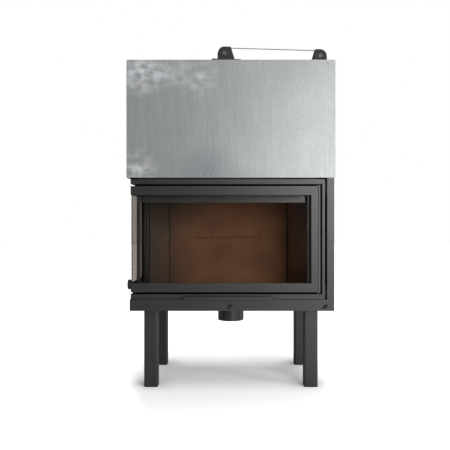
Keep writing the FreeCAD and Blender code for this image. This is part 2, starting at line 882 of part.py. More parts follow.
rim_top = base_top + s.pan_sheet
pan_bottom = rim_top - s.pan_depth
inner_x = pan_half_x - s.pan_sheet
inner_y = pan_half_y - s.pan_sheet
pan = new_body("ash_pan")
pad(pan, "plan", rectangle(-pan_half_x, pan_half_x, grate_y - pan_half_y, grate_y + pan_half_y),
    pan_bottom, rim_top)
pad(pan, "plan", rectangle(-s.grate_width / 2, s.grate_width / 2,
                           grate_y - s.grate_depth / 2, grate_y + s.grate_depth / 2), base_top, rim_top)
pocket(pan, "plan", rectangle(-inner_x, inner_x, grate_y - inner_y, grate_y + inner_y),
       pan_bottom + s.pan_sheet, rim_top + over)
keep(pan, "ash_pan")

grate = new_body("fire_grate")
grate_top = rim_top + s.grate_thickness
pad(grate, "plan", rectangle(-s.grate_width / 2, s.grate_width / 2,
                             grate_y - s.grate_depth / 2, grate_y + s.grate_depth / 2), rim_top, grate_top)
slot_row = s.grate_width - s.grate_side_border * 2 - s.grate_slot_width
slot_left = -slot_row / 2 - s.grate_slot_width / 2
slot_half_y = s.grate_depth / 2 - s.grate_border
first_slot = pocket(grate, "plan", rectangle(slot_left, slot_left + s.grate_slot_width,
                                             grate_y - slot_half_y, grate_y + slot_half_y),
                    rim_top - over, grate_top + over)
repeat(grate, first_slot, "X_Axis", GRATE_SLOT_COUNT, slot_row)
keep(grate, "fire_grate")

# Linings: two courses at the back, splayed bricks left and right, a baffle across their tops
lining_top = lintel_bottom - s.baffle_thickness
joint_z = hearth_top + s.back_joint_height
brick_left = firebox_left + s.left_splay_width
brick_right = firebox_right - s.right_splay_width
keep(block("lower_course", (brick_left, brick_right), (brick_front, firebox_back), (hearth_top, joint_z)),
     "back_lining_lower")
upper = new_body("back_lining_upper")
pad(upper, "front", rectangle(brick_left, brick_right, joint_z, lining_top), brick_front, firebox_back)
hole_row = s.air_hole_pitch * (AIR_HOLE_COUNT - 1)
hole_x = (brick_left + brick_right) / 2 - hole_row / 2
first_hole = drill(upper, "front", [(hole_x, joint_z + s.air_hole_rise, s.air_hole_radius)],
                   brick_front - over, brick_front + s.air_hole_length)
repeat(upper, first_hole, "X_Axis", AIR_HOLE_COUNT, hole_row)
keep(upper, "back_lining_upper")
left_brick = new_body("left_lining")
pad(left_brick, "plan", [
    (brick_left, brick_front),
    (brick_left, firebox_back),
    (firebox_left, firebox_back),
    (firebox_left, brick_front - s.left_splay_depth),
], hearth_top, lining_top)
keep(left_brick, "left_lining")
right_brick = new_body("right_lining")
pad(right_brick, "plan", [
    (firebox_right - s.right_lining_lip, firebox_front),
    (firebox_right, firebox_front),
    (firebox_right, firebox_back),
    (brick_right, firebox_back),
    (brick_right, brick_front),
], hearth_top, lining_top)
keep(right_brick, "right_lining")
keep(block("baffle_plate", (firebox_left, firebox_right), (firebox_front + s.baffle_setback, firebox_back),
           (lining_top, lining_top + s.baffle_thickness)), "smoke_baffle")

# Air wash bar: a folded strip behind the lintel that guides air down the glass
wash_top = frame_top - s.wash_bar_top_drop
wash_bottom = wash_top - s.wash_bar_height
wash_back = firebox_front + s.wash_bar_sheet
wash_bar = new_body("air_wash_bar")
pad(wash_bar, "side", [
    (firebox_front, wash_bottom),
    (wash_back + s.wash_bar_lip, wash_bottom),
    (wash_back + s.wash_bar_lip, wash_bottom + s.wash_bar_sheet),
    (wash_back, wash_bottom + s.wash_bar_sheet),
    (wash_back, wash_top),
    (firebox_front, wash_top),
], firebox_left, firebox_right - s.wash_bar_right_gap)
keep(wash_bar, "air_wash_bar")

# Boiler: water jackets at the back and the right, and a heat exchanger over the fire
skin = s.boiler_wall


def tank(name, x, y, z):
    """A closed box of boiler plate."""
    outer = block(f"{name}_outer", x, y, z)
    inner = block(f"{name}_water", (x[0] + skin, x[1] - skin), (y[0] + skin, y[1] - skin),
                  (z[0] + skin, z[1] - skin))
    return cut(name, outer, inner)


back_tank = tank("back_tank", (firebox_left, jacket_right), (firebox_back, jacket_back),
                 (base_top, boiler_top))
socket_places = [(x, z) for z in (low_socket_z, high_socket_z) for x in (-socket_x, socket_x)]
ports = join("jacket_ports", [
    cylinder(f"port_{index}", s.port_radius, skin + over * 2, (x, jacket_back - skin - over, z), "y")
    for index, (x, z) in enumerate(socket_places)
])
keep(cut("back_jacket", back_tank, ports), "back_water_jacket")
keep(tank("right_tank", (firebox_right, jacket_right), (firebox_front, firebox_back),
          (base_top, frame_top)), "right_water_jacket")

tube_y = (firebox_front + firebox_back) / 2
tube_x = (firebox_left + jacket_right) / 2
tube_pitch = (jacket_right - firebox_left - s.tube_side_inset * 2) / (TUBE_COUNT - 1)
tube_row_pitch = (firebox_back - firebox_front - s.tube_row_inset * 2) / (TUBE_ROW_COUNT - 1)
tube_length = boiler_top - frame_top
tube_walls = []
tube_bores = []
for row in range(TUBE_ROW_COUNT):
    y = tube_y + tube_row_pitch * (row - (TUBE_ROW_COUNT - 1) / 2)
    for column in range(TUBE_COUNT):
        x = tube_x + tube_pitch * (column - (TUBE_COUNT - 1) / 2)
        name = f"tube_{row}_{column}"
        tube_walls.append(cylinder(f"{name}_wall", s.tube_radius + s.tube_wall, tube_length,
                                   (x, y, frame_top), "z"))
        tube_bores.append(cylinder(f"{name}_bore", s.tube_radius, tube_length + over * 2,
                                   (x, y, frame_top - over), "z"))
exchanger_tank = tank("exchanger_tank", (firebox_left, jacket_right), (firebox_front, firebox_back),
                      (frame_top, boiler_top))
keep(cut("exchanger", join("exchanger_walls", [exchanger_tank] + tube_walls),
         join("smoke_ways", tube_bores)), "heat_exchanger")

# Smoke hood: narrows from the exchanger to the neck of the flue
flue_y = front + s.flue_depth
flue_outer = s.flue_radius + s.flue_wall
hood_top = boiler_top + s.hood_height
neck = s.hood_neck / 2


def hood_outline(inset):
    return rectangle(firebox_left + s.hood_inset + inset, jacket_right - s.hood_inset - inset,
                     firebox_front + s.hood_inset + inset, firebox_back - s.hood_inset - inset)


def neck_outline(inset):
    return rectangle(inset - neck, neck - inset, flue_y - neck + inset, flue_y + neck - inset)


hood = new_body("smoke_hood")
loft(hood, "AdditiveLoft", [(hood_outline(ZERO), boiler_top), (neck_outline(ZERO), hood_top)])
loft(hood, "SubtractiveLoft", [(hood_outline(s.hood_sheet), boiler_top),
                               (neck_outline(s.hood_sheet), hood_top - s.hood_sheet)])
drill(hood, "plan", [(ZERO, flue_y, flue_outer)], hood_top - s.hood_sheet - over, hood_top + over)
keep(hood, "smoke_hood")

# Flue collar, turned, with a flange on the neck of the hood
collar = new_body("flue_collar")
revolve(collar, [
    (s.flue_radius, ZERO),
    (flue_outer + s.flue_flange, ZERO),
    (flue_outer + s.flue_flange, s.flue_wall),
    (flue_outer, s.flue_wall),
    (flue_outer, s.flue_collar_height),
    (s.flue_radius, s.flue_collar_height),
])
place(collar, ZERO, flue_y, hood_top)
keep(collar, "flue_collar")

# Water sockets, welded to the back jacket and reaching through the rear sheets
sockets = []
for index, (x, z) in enumerate(socket_places):
    socket = new_body(f"socket_{index}")
    round_pad(socket, "front", [(x, z, s.socket_radius), (x, z, s.socket_bore_radius)],
              jacket_back, back + s.socket_reach)
    sockets.append(socket)
group("water_sockets", sockets)

# Galvanised casing round the raised door and the exchanger
thin = s.casing_sheet
screw_z = casing_top - s.screw_drop
screw_hole = s.screw_radius + s.screw_gap
front_reach = half_width - s.screw_front_inset
side_reach = s.body_depth / 2 - s.screw_side_inset
front_screws = [(front_reach * share, screw_z) for share in FRONT_SCREW_SHARES]
side_screws = [((front + back) / 2 + side_reach * share, screw_z) for share in SIDE_SCREW_SHARES]
inner_wall = half_width - thin
casing_front = new_body("casing_front")
pad(casing_front, "front", rectangle(-half_width, half_width, casing_bottom, casing_top), front, front + thin)
drill(casing_front, "front", [(x, z, screw_hole) for x, z in front_screws], front - over, front + thin + over)
keep(casing_front, "casing_front")
casing_rear = new_body("casing_rear")
pad(casing_rear, "front", rectangle(-half_width, half_width, casing_bottom, casing_top), base_back, back)
drill(casing_rear, "front", [(-socket_x, high_socket_z, socket_hole), (socket_x, high_socket_z, socket_hole)],
      base_back - over, back + over)
keep(casing_rear, "casing_rear")


def casing_side(label, outer, inner, foot_end, foot_start):
    """One side sheet with an inward foot that stands on the panel below."""
    body = new_body(label)
    low, high = sorted((outer, inner), key=lambda item: item.value)
    pad(body, "side", rectangle(front + thin, base_back, casing_bottom, casing_top), low, high)
    low, high = sorted((inner, foot_end), key=lambda item: item.value)
    pad(body, "plan", rectangle(low, high, foot_start, base_back), casing_bottom, casing_bottom + thin)
    low, high = sorted((outer, inner), key=lambda item: item.value)
    drill(body, "side", [(y, z, screw_hole) for y, z in side_screws], low - over, high + over)
    keep(body, label)


casing_side("casing_left", -half_width, -inner_wall, base_left + s.panel_sheet, left_panel_front)
casing_side("casing_right", half_width, inner_wall, inner_wall - s.casing_foot, front + thin)

# Casing top: a shallow lid with turned down edges, open for the flue and the two cable drops
front_axle = (-s.front_pulley_left, front + s.front_pulley_depth)
weight_front = carriage_front + s.guide_right_setback + s.shoe_half_width + s.weight_front_gap
rear_axle = (base_inner_right - s.channel_width / 2 - s.cable_pitch_radius + s.weight_right_shift,
             weight_front + s.weight_depth / 2)
run_x = rear_axle[0].value - front_axle[0].value
run_y = rear_axle[1].value - front_axle[1].value
run_length = math.hypot(run_x, run_y)
run_share = (run_x / run_length, run_y / run_length)
door_drop = tuple(at - s.cable_pitch_radius * share for at, share in zip(front_axle, run_share))
weight_drop = tuple(at + s.cable_pitch_radius * share for at, share in zip(rear_axle, run_share))
lid = new_body("casing_top")
pad(lid, "plan", rectangle(-inner_wall, inner_wall, front + thin, base_back),
    casing_top - s.casing_flange, casing_top)
pocket(lid, "plan", rectangle(thin - inner_wall, inner_wall - thin, front + thin * 2, base_back - thin),
       casing_top - s.casing_flange - over, casing_top - thin)
drill(lid, "plan", [
    (ZERO, flue_y, flue_outer + s.flue_gap),
    (door_drop[0], door_drop[1], s.cable_hole_radius),
    (weight_drop[0], weight_drop[1], s.cable_hole_radius),
], casing_top - thin - over, casing_top + over)
drill(lid, "front", [(x, z, screw_hole) for x, z in front_screws], front - over, front + thin * 2 + over)
drill(lid, "side", [(y, z, screw_hole) for y, z in side_screws], -half_width - over, half_width + over)
keep(lid, "casing_top")


def casing_screw(name, start, axis, inward):
    """A pan head against the sheet, its shank through the sheet and the edge of the lid."""
    head_turn = AXIS_TURNS[axis] if inward > 0 else AXIS_TURNS[axis] * FreeCAD.Rotation(
        FreeCAD.Vector(1, 0, 0), QUARTER_TURN * 2)
    screw = new_body(name)
    revolve(screw, [
        (ZERO, -s.screw_head_height),
        (s.screw_radius, -s.screw_head_height),
        (s.screw_head_radius, -s.screw_head_height / 3),
        (s.screw_head_radius, ZERO),
        (s.screw_radius, ZERO),
        (s.screw_radius, s.screw_length),
        (ZERO, s.screw_length),
    ])
    screw.Placement = FreeCAD.Placement(FreeCAD.Vector(), head_turn)
    place(screw, *start)
    return screw


screws = []
for index, (x, z) in enumerate(front_screws):
    screws.append(casing_screw(f"front_screw_{index}", (x, front, z), "y", 1))
for index, (y, z) in enumerate(side_screws):
    screws.append(casing_screw(f"left_screw_{index}", (-half_width, y, z), "x", 1))
    screws.append(casing_screw(f"right_screw_{index}", (half_width, y, z), "x", -1))
group("casing_screws", screws)

# Guide rods with stop rings, and the shoes of the carriage that run on them
lid_under = casing_top - thin
right_rod = (carriage_right + s.guide_right_gap, carriage_front + s.guide_right_setback)
left_rod = (carriage_left + s.guide_left_inset, carriage_back + s.guide_left_gap)
group("guide_rods", [
    cylinder("right_rod", s.guide_rod_radius, lid_under - tray_floor, (*right_rod, tray_floor), "z"),
    cylinder("left_rod", s.guide_rod_radius, lid_under - base_top, (*left_rod, base_top), "z"),
])
shoe_low = carriage_bottom + s.shoe_end_gap
shoe_high = carriage_top - s.shoe_end_gap - s.shoe_height
shoe_bore = s.guide_rod_radius + s.running_gap
shoes = []
for level_name, bottom in (("lower", shoe_low), ("upper", shoe_high)):
    top = bottom + s.shoe_height
    right_shoe = new_body(f"{level_name}_right_shoe")
    pad(right_shoe, "plan",
        rectangle(carriage_right, right_rod[0] + s.shoe_half_width,
                  right_rod[1] - s.shoe_half_width, right_rod[1] + s.shoe_half_width), bottom, top)
    drill(right_shoe, "plan", [(*right_rod, shoe_bore)], bottom - over, top + over)
    left_shoe = new_body(f"{level_name}_left_shoe")
    pad(left_shoe, "plan",
        rectangle(left_rod[0] - s.shoe_half_width, left_rod[0] + s.shoe_half_width,
                  carriage_back, left_rod[1] + s.shoe_half_width), bottom, top)
    drill(left_shoe, "plan", [(*left_rod, shoe_bore)], bottom - over, top + over)
    shoes += [right_shoe, left_shoe]
group("guide_shoes", shoes)
ring_bottom = casing_top - s.stop_ring_drop
rings = []
for name, at in (("right_ring", right_rod), ("left_ring", left_rod)):
    ring = new_body(name)
    round_pad(ring, "plan", [(*at, s.stop_ring_radius), (*at, s.guide_rod_radius)],
              ring_bottom, ring_bottom + s.stop_ring_height)
    rings.append(ring)
group("lift_stop_rings", rings)

# Pulley brackets: each a base plate with two cheeks, turned in plan to face the other one
pulley_radius = s.cable_pitch_radius + s.pulley_rim_rise
axle_rise = s.bracket_plate + s.pulley_gap + pulley_radius
axle_z = casing_top + axle_rise
half_cheek = s.cheek_gap / 2 + s.cheek_thickness
plan_angle = math.degrees(math.atan2(run_y, run_x))


def bracket(label, axle, angle, top_reach, base_reach):
    body = new_body(label)
    plate_half = s.bracket_plate_width / 2
    cheek_top = axle_rise + s.cheek_radius
    pad(body, "plan", rectangle(-s.bracket_outer_reach, s.bracket_inner_reach, -plate_half, plate_half),
        ZERO, s.bracket_plate)
    pad(body, "front", [
        (-s.cheek_radius, ZERO),
        (base_reach, ZERO),
        (top_reach, cheek_top),
        (ZERO, cheek_top),
        (ZERO, axle_rise),
        (-s.cheek_radius, axle_rise),
    ], -half_cheek, half_cheek)
    round_pad(body, "front", [(ZERO, axle_rise, s.cheek_radius)], -half_cheek, half_cheek)
    pocket(body, "plan", rectangle(-s.cheek_radius - over, base_reach + over,
                                   -s.cheek_gap / 2, s.cheek_gap / 2), s.bracket_plate, cheek_top + over)
    drill(body, "front", [(ZERO, axle_rise, s.axle_radius + s.running_gap)],
          -half_cheek - over, half_cheek + over)
    drill(body, "plan", [(-s.cable_pitch_radius, ZERO, s.cable_hole_radius)], -over, s.bracket_plate + over)
    body.Placement = FreeCAD.Placement(FreeCAD.Vector(), FreeCAD.Rotation(FreeCAD.Vector(0, 0, 1), angle))
    place(body, axle[0], axle[1], casing_top)
    keep(body, label)


bracket("front_pulley_bracket", front_axle, plan_angle, s.cheek_top_reach, s.cheek_base_reach)
bracket("rear_pulley_bracket", rear_axle, plan_angle + QUARTER_TURN * 2,
        s.rear_cheek_top_reach, s.rear_cheek_base_reach)

# Pulleys and axles share one horizontal direction across the cable
across_cable = FreeCAD.Vector(-run_share[1], run_share[0], 0)
along_cable = FreeCAD.Vector(run_share[0], run_share[1], 0)
upward = FreeCAD.Vector(0, 0, 1)
axle_turn = FreeCAD.Rotation(along_cable, -upward, across_cable, "ZXY")
groove = s.cable_pitch_radius - s.cable_radius - s.cable_groove_gap
rim_half = s.pulley_width / 2
hub_half = s.cheek_gap / 2 - s.hub_gap
web_half = s.pulley_web / 2
bore = s.axle_radius + s.running_gap
rim_inner = pulley_radius - s.pulley_rim_depth
groove_edge = rim_half - s.pulley_rim_edge


def pulley(label, axle):
    body = new_body(label)
    revolve(body, [
        (bore, -hub_half),
        (s.hub_radius, -hub_half),
        (s.hub_radius, -web_half),
        (rim_inner, -web_half),
        (rim_inner, -rim_half),
        (pulley_radius, -rim_half),
        (pulley_radius, -groove_edge),
        (groove, -s.cable_radius),
        (groove, s.cable_radius),
        (pulley_radius, groove_edge),
        (pulley_radius, rim_half),
        (rim_inner, rim_half),
        (rim_inner, web_half),
        (s.hub_radius, web_half),
        (s.hub_radius, hub_half),
        (bore, hub_half),
    ])
    body.Placement = FreeCAD.Placement(FreeCAD.Vector(), axle_turn)
    place(body, axle[0], axle[1], axle_z)
    keep(body, label)


def pulley_axle(name, axle):
    body = new_body(name)
    length = half_cheek + s.axle_head
    revolve(body, [
        (ZERO, -length),
        (s.hub_radius, -length),
        (s.hub_radius, -half_cheek),
        (s.axle_radius, -half_cheek),
        (s.axle_radius, length),
        (ZERO, length),
    ])
    body.Placement = FreeCAD.Placement(FreeCAD.Vector(), axle_turn)
    place(body, axle[0], axle[1], axle_z)
    return body


pulley("front_pulley", front_axle)
pulley("rear_pulley", rear_axle)
group("pulley_axles", [pulley_axle("front_axle", front_axle), pulley_axle("rear_axle", rear_axle)])


# Lift cable: a quarter turn round each pulley, the run between them and the two drops
def cable_bend(name, axle, outward):
    torus = doc.addObject("Part::Torus", name)
    bind(torus, "Radius1", s.cable_pitch_radius)
    bind(torus, "Radius2", s.cable_radius)
    torus.Angle3 = QUARTER_TURN
    turn = FreeCAD.Rotation(outward, upward, outward.cross(upward), "ZXY")
    torus.Placement = FreeCAD.Placement(FreeCAD.Vector(), turn)
    place(torus, axle[0], axle[1], axle_z)
    return torus


cable_z = axle_z + s.cable_pitch_radius
cable_run = doc.addObject("Part::Cylinder", "cable_straight")
bind(cable_run, "Radius", s.cable_radius)
cable_run.Height = run_length
cable_run.Placement = FreeCAD.Placement(FreeCAD.Vector(), FreeCAD.Rotation(upward, along_cable))
place(cable_run, front_axle[0], front_axle[1], cable_z)
keep(join("cable_run", [
    cable_bend("front_bend", front_axle, -along_cable),
    cable_run,
    cable_bend("rear_bend", rear_axle, along_cable),
]), "lift_cable_run")
anchor_top = carriage_top + s.anchor_height
weight_top = casing_top - s.weight_top_drop
eye_top = weight_top + s.eye_height
keep(cylinder("door_drop", s.cable_radius, axle_z - anchor_top, (*door_drop, anchor_top), "z"),
     "lift_cable_door_drop")
keep(cylinder("weight_drop", s.cable_radius, axle_z - eye_top, (*weight_drop, eye_top), "z"),
     "lift_cable_weight_drop")
keep(cylinder("anchor", s.anchor_radius, s.anchor_height, (*door_drop, carriage_top), "z"), "cable_anchor")

# Counterweight in the channel beside the right jacket, hung from an eye
weight_half = s.channel_width / 2 - s.weight_side_gap
keep(block("weight", (weight_drop[0] - weight_half, weight_drop[0] + weight_half),
           (weight_drop[1] - s.weight_depth / 2, weight_drop[1] + s.weight_depth / 2),
           (weight_top - s.weight_height, weight_top)), "counterweight")
keep(cylinder("eye", s.eye_radius, s.eye_height, (*weight_drop, weight_top), "z"), "counterweight_eye")

doc.recompute()
for item in doc.Objects:
    if "Invalid" in item.State or "Error" in item.State:
        raise RuntimeError(f"{item.Label} did not build")
for label, item in nodes.items():
    if item.Shape.isNull() or not item.Shape.isValid() or not item.Shape.Solids:
        raise RuntimeError(f"{label} has no sound solid")

os.makedirs("parts", exist_ok=True)
for label, item in nodes.items():
    item.Shape.exportStep(f"parts/{label}.step")
    print(label, len(item.Shape.Solids), round(item.Shape.Volume))
print(len(nodes), "pieces")
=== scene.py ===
# %% [markdown]
# # A boiler fireplace with a lifting corner door
# The stove is a steel firebox with water jackets, glazed at the front and on the left.
# Its solids come in ready made and stay where they are. This lesson dresses them:
# it rolls the sharp edges of the sheets, paints every surface with a procedural finish,
# and models the small things that need real shape, such as screws, cable and rope.

# %% Load the solids
import json
import math

import bmesh
import bpy
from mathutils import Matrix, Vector


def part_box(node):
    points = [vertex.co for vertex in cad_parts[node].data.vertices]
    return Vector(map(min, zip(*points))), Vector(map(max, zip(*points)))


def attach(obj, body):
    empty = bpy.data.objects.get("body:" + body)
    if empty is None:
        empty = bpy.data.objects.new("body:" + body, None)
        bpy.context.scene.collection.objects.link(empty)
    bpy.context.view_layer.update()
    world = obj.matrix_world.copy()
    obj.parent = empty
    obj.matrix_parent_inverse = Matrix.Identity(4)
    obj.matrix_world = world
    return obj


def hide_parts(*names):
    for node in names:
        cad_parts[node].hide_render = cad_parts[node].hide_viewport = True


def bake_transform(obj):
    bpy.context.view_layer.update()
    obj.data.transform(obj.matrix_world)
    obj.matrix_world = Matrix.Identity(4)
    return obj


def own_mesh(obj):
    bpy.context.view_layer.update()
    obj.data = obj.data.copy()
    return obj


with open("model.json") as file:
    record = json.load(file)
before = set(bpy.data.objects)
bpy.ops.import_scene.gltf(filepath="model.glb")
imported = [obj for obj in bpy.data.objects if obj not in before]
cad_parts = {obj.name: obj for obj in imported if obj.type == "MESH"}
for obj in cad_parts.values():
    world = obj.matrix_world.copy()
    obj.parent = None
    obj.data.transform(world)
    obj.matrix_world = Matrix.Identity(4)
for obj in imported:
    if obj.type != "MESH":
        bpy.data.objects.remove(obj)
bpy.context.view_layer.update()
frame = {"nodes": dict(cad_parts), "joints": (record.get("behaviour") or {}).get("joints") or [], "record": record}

record = frame["record"]
body_of_node = {node: body for body, nodes in record["behaviour"]["bodies"].items() for node in nodes}
slot_of_node = {entry["node"]: entry["material_slot"] for entry in record["subparts"]}

# %% [markdown]
# ## Camera
# The stove is seen straight from the front, from nearly three metres away, with a level camera
# at about the height of the glass. A level camera keeps all upright edges upright,
# so the framing is done with a small lens shift and not by tilting.

# %% Camera
FRONT = -0.2805
EYE = Vector((-0.004, FRONT - 2.725, 0.734))
SENSOR_WIDTH = 36.0
FOCAL_LENGTH = 50.65
SHIFT_ACROSS = -0.0111
SHIFT_UP = -0.0133
camera_data = bpy.data.cameras.new("front_camera")
camera_data.sensor_width = SENSOR_WIDTH
camera_data.sensor_fit = "HORIZONTAL"
camera_data.lens = FOCAL_LENGTH
camera_data.shift_x = SHIFT_ACROSS
camera_data.shift_y = SHIFT_UP
camera = bpy.data.objects.new("front_camera", camera_data)
camera.location = EYE
camera.rotation_euler = (math.radians(90), 0, 0)
bpy.context.scene.collection.objects.link(camera)
bpy.context.scene.camera = camera
bpy.context.scene.view_settings.view_transform = "Standard"
print("camera at", tuple(round(value, 3) for value in EYE))

# %% [markdown]
# ## A small helper for finishes
# Each finish is a Principled surface fed by procedural textures in the stove's own coordinates,
# so that a grain of one millimetre is one millimetre on every piece. The nodes could be wired by hand
# in the shader editor. The helper does it in code and keeps that code short:
# one call adds a node and hands back its output, which the next call takes up.

# %% Finish helper
def shade(red, green, blue):
    """A display colour from 0 to 255 as the linear colour that shaders use."""
    values = [channel / 255 for channel in (red, green, blue)]
    return tuple(v / 12.92 if v <= 0.04045 else ((v + 0.055) / 1.055) ** 2.4 for v in values) + (1.0,)


class Finish:
    """One procedural material under construction."""

    def __init__(self, name):
        self.material = bpy.data.materials.new(name)
        self.material.use_nodes = True
        self.tree = self.material.node_tree
        self.surface = self.tree.nodes["Principled BSDF"]
        self.place = self.tree.nodes.new("ShaderNodeTexCoord").outputs["Object"]
        self.normal = None

    def add(self, kind, inputs=None, **settings):
        """A new node with its settings and with its inputs fed."""
        node = self.tree.nodes.new(kind)
        for key, value in settings.items():
            setattr(node, key, value)
        for key, value in (inputs or {}).items():
            self.feed(node.inputs[key], value)
        return node

    def feed(self, socket, value):
        """Links an output to a socket, or sets a plain value on it."""
        if isinstance(value, bpy.types.NodeSocket):
            self.tree.links.new(value, socket)
        else:
            socket.default_value = value

    def stretched(self, stretch):
        """The place on the stove, scaled along each axis."""
        return self.add("ShaderNodeMapping", {"Vector": self.place, "Scale": stretch}).outputs["Vector"]

    def along(self, axis):
        """The place along one axis of the stove."""
        return self.add("ShaderNodeSeparateXYZ", {"Vector": self.place}).outputs[axis]

    def distance(self, spot, place=None):
        """How far a place, or else the point on the stove itself, is from one spot."""
        inputs = {0: self.place if place is None else place, 1: spot}
        return self.add("ShaderNodeVectorMath", inputs, operation="DISTANCE").outputs["Value"]

    def flatness(self):
        """Nothing where the surface is seen straight on, and one where it is seen edge on."""
        return self.add("ShaderNodeLayerWeight", {"Blend": 0.5}).outputs["Facing"]

    def noise(self, scale, detail=3.0, stretch=(1, 1, 1)):
        """Soft noise that grows finer with scale."""
        inputs = {"Vector": self.stretched(stretch), "Scale": scale, "Detail": detail}
        return self.add("ShaderNodeTexNoise", inputs).outputs["Fac"]

    def cells(self, scale, stretch=(1, 1, 1)):
        """A pattern of cells with straight borders."""
        inputs = {"Vector": self.stretched(stretch), "Scale": scale}
        return self.add("ShaderNodeTexVoronoi", inputs)

    def spread(self, value, low, high, start=0.3, end=0.7):
        """Runs from low to high while value runs from start to end."""
        inputs = {"Value": value, "From Min": start, "From Max": end, "To Min": low, "To Max": high}
        return self.add("ShaderNodeMapRange", inputs).outputs["Result"]

    def math(self, how, *values):
        """One step of arithmetic."""
        return self.add("ShaderNodeMath", dict(enumerate(values)), operation=how).outputs["Value"]

    def within(self, low, high):
        """One inside the box from low to high, and nothing outside it."""
        x, y, z = [self.math("COMPARE", self.along(axis), (start + end) / 2, (end - start) / 2)
                   for axis, start, end in zip("XYZ", low, high)]
        return self.math("MULTIPLY", self.math("MULTIPLY", x, y), z)

    def mix(self, share, first, second):
        """The first colour, and the second where share is one."""
        node = self.add("ShaderNodeMix", data_type="RGBA")
        self.feed(node.inputs[0], share)
        self.feed(node.inputs[6], first)
        self.feed(node.inputs[7], second)
        return node.outputs[2]

    def bump(self, height, depth, strength=1.0):
        """Roughens the light on the surface, on top of the bumps it already has."""
        inputs = {"Height": height, "Distance": depth, "Strength": strength}
        if self.normal is not None:
            inputs["Normal"] = self.normal
        self.normal = self.add("ShaderNodeBump", inputs).outputs["Normal"]
        self.feed(self.surface.inputs["Normal"], self.normal)

    def set(self, **values):
        """Feeds the sockets of the Principled surface by name."""
        for key, value in values.items():
            self.feed(self.surface.inputs[key.replace("_", " ")], value)
        return self.material

    def show(self, shader):
        """Makes another shader the visible surface."""
        self.feed(self.tree.nodes["Material Output"].inputs["Surface"], shader)
        return self.material


finishes = {}
print("finish helper ready")

# %% [markdown]
# ## Graphite paint
# Legs, base and door carry a matt heat-proof paint. It is sprayed, so it has a fine dry grain and
# faint clouds where the coat is thicker. A little gloss lets the soft light slide along the sheets.
# Inside the narrow gap round the door leaf the surface is painted shade: black, dull and without gloss.
# The round bead on the hinge side of the leaf is painted lighter, as a painted highlight along its edge.
# Gap and bead could be finishes of their own, but both lie on a painted solid, so two boxes measured
# on the carriage and on the leaf tell the paint where they are.

# %% Graphite paint
GAP_MARGIN = Vector((0.02, 0.003, 0.003))
GAP_DEPTH = 0.03
GAP_FADE = 0.008
BEAD_WIDTH = 0.009
BEAD_STAND = 0.0034
carriage_low, carriage_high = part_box("lift_carriage")
gap_low = carriage_low + GAP_MARGIN
gap_high = carriage_high - GAP_MARGIN
gap_high.y = gap_low.y + GAP_DEPTH
leaf_low, leaf_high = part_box("door_leaf")
bead_low = (leaf_high.x - BEAD_WIDTH, leaf_low.y, leaf_low.z)
bead_high = (leaf_high.x, leaf_low.y + BEAD_STAND, leaf_high.z)
paint = Finish("graphite_paint")
# painted shade: inside the gap round the leaf the surface turns black, dull and mirror-free
deep_in = paint.spread(paint.along("Y"), low=0.0, high=1.0, start=gap_low.y, end=gap_low.y + GAP_FADE)
painted_gap_shade = paint.math("MULTIPLY", paint.within(gap_low, gap_high), deep_in)
clouds = paint.spread(paint.noise(scale=5.0, detail=4.0), low=0.0, high=1.0)
grain = paint.noise(scale=1400.0, detail=2.0)
grain_share = paint.spread(grain, low=0.0, high=0.2, start=0.4, end=0.75)
colour = paint.mix(clouds, shade(17, 17, 17), shade(20, 20, 19))
colour = paint.mix(grain_share, colour, shade(38, 38, 36))
colour = paint.mix(painted_gap_shade, colour, shade(4, 4, 4))
# painted highlight: the round hinge bead of the leaf is made lighter
colour = paint.mix(paint.within(bead_low, bead_high), colour, shade(66, 66, 65))
seen_straight = paint.spread(paint.noise(scale=60.0), low=0.36, high=0.41)
seen_flat = paint.spread(paint.flatness(), low=0.0, high=0.45, start=0.5, end=0.9)
roughness = paint.math("ADD", seen_straight, seen_flat)
paint.bump(grain, depth=0.00012, strength=0.5)
finishes["graphite_paint"] = paint.set(
    Base_Color=colour,
    Metallic=painted_gap_shade,
    Roughness=paint.math("MAXIMUM", roughness, painted_gap_shade),
    IOR=1.45,
)
print("graphite paint ready")

# %% [markdown]
# ## Zinc textures
# The casing is raw zinc coated sheet. The zinc freezes in flat crystals, the rolling mill leaves fine
# upright streaks, and wet handling leaves cloudy patches in a few places only. A picture of real sheet
# would repeat and blur up close, so each mark gets a texture of its own: cells make the crystals,
# and a noise pulled out along Z makes the streaks.

# %% Zinc textures
zinc = Finish("galvanised_steel")
streaks = zinc.noise(scale=120.0, detail=5.0, stretch=(1.0, 1.0, 0.05))
mottle = zinc.noise(scale=240.0, detail=5.0, stretch=(1.0, 1.0, 0.6))
drift = zinc.noise(scale=3.4, detail=3.0)
wisps = zinc.noise(scale=22.0, detail=9.0, stretch=(1.0, 1.0, 1.5))
crystals = zinc.cells(scale=330.0, stretch=(1.0, 1.0, 0.7)).outputs["Color"]
crystal_tone = zinc.add("ShaderNodeRGBToBW", {"Color": crystals}).outputs["Val"]
print("five zinc textures ready")

# %% [markdown]
# ## Galvanised sheet
# Now the textures are laid over each other, each with its own grey. The streaks are strong on the left
# and fade to the right. A cloud is a noise that fades out from one spot of the front sheet,
# so the patches stay few and lie where hands and water have been.

# %% Galvanised sheet
PALE_CLOUDS = (
    ((-0.385, FRONT, 1.36), 0.11, 0.85),
    ((-0.15, FRONT, 1.355), 0.11, 0.4),
    ((-0.28, FRONT, 1.37), 0.09, 0.35),
    ((-0.41, FRONT, 0.945), 0.11, 0.7),
)
DARK_CLOUD = ((-0.09, FRONT, 0.93), 0.14, 0.85)


def cloud(spot, reach, amount, texture):
    """A noisy share that is strongest at one spot of the sheet and fades to nothing."""
    near = zinc.spread(zinc.distance(spot), low=amount, high=0.0, start=0.0, end=reach)
    patchy = zinc.spread(texture, low=0.1, high=1.0, start=0.38, end=0.64)
    return zinc.math("MULTIPLY", near, patchy)


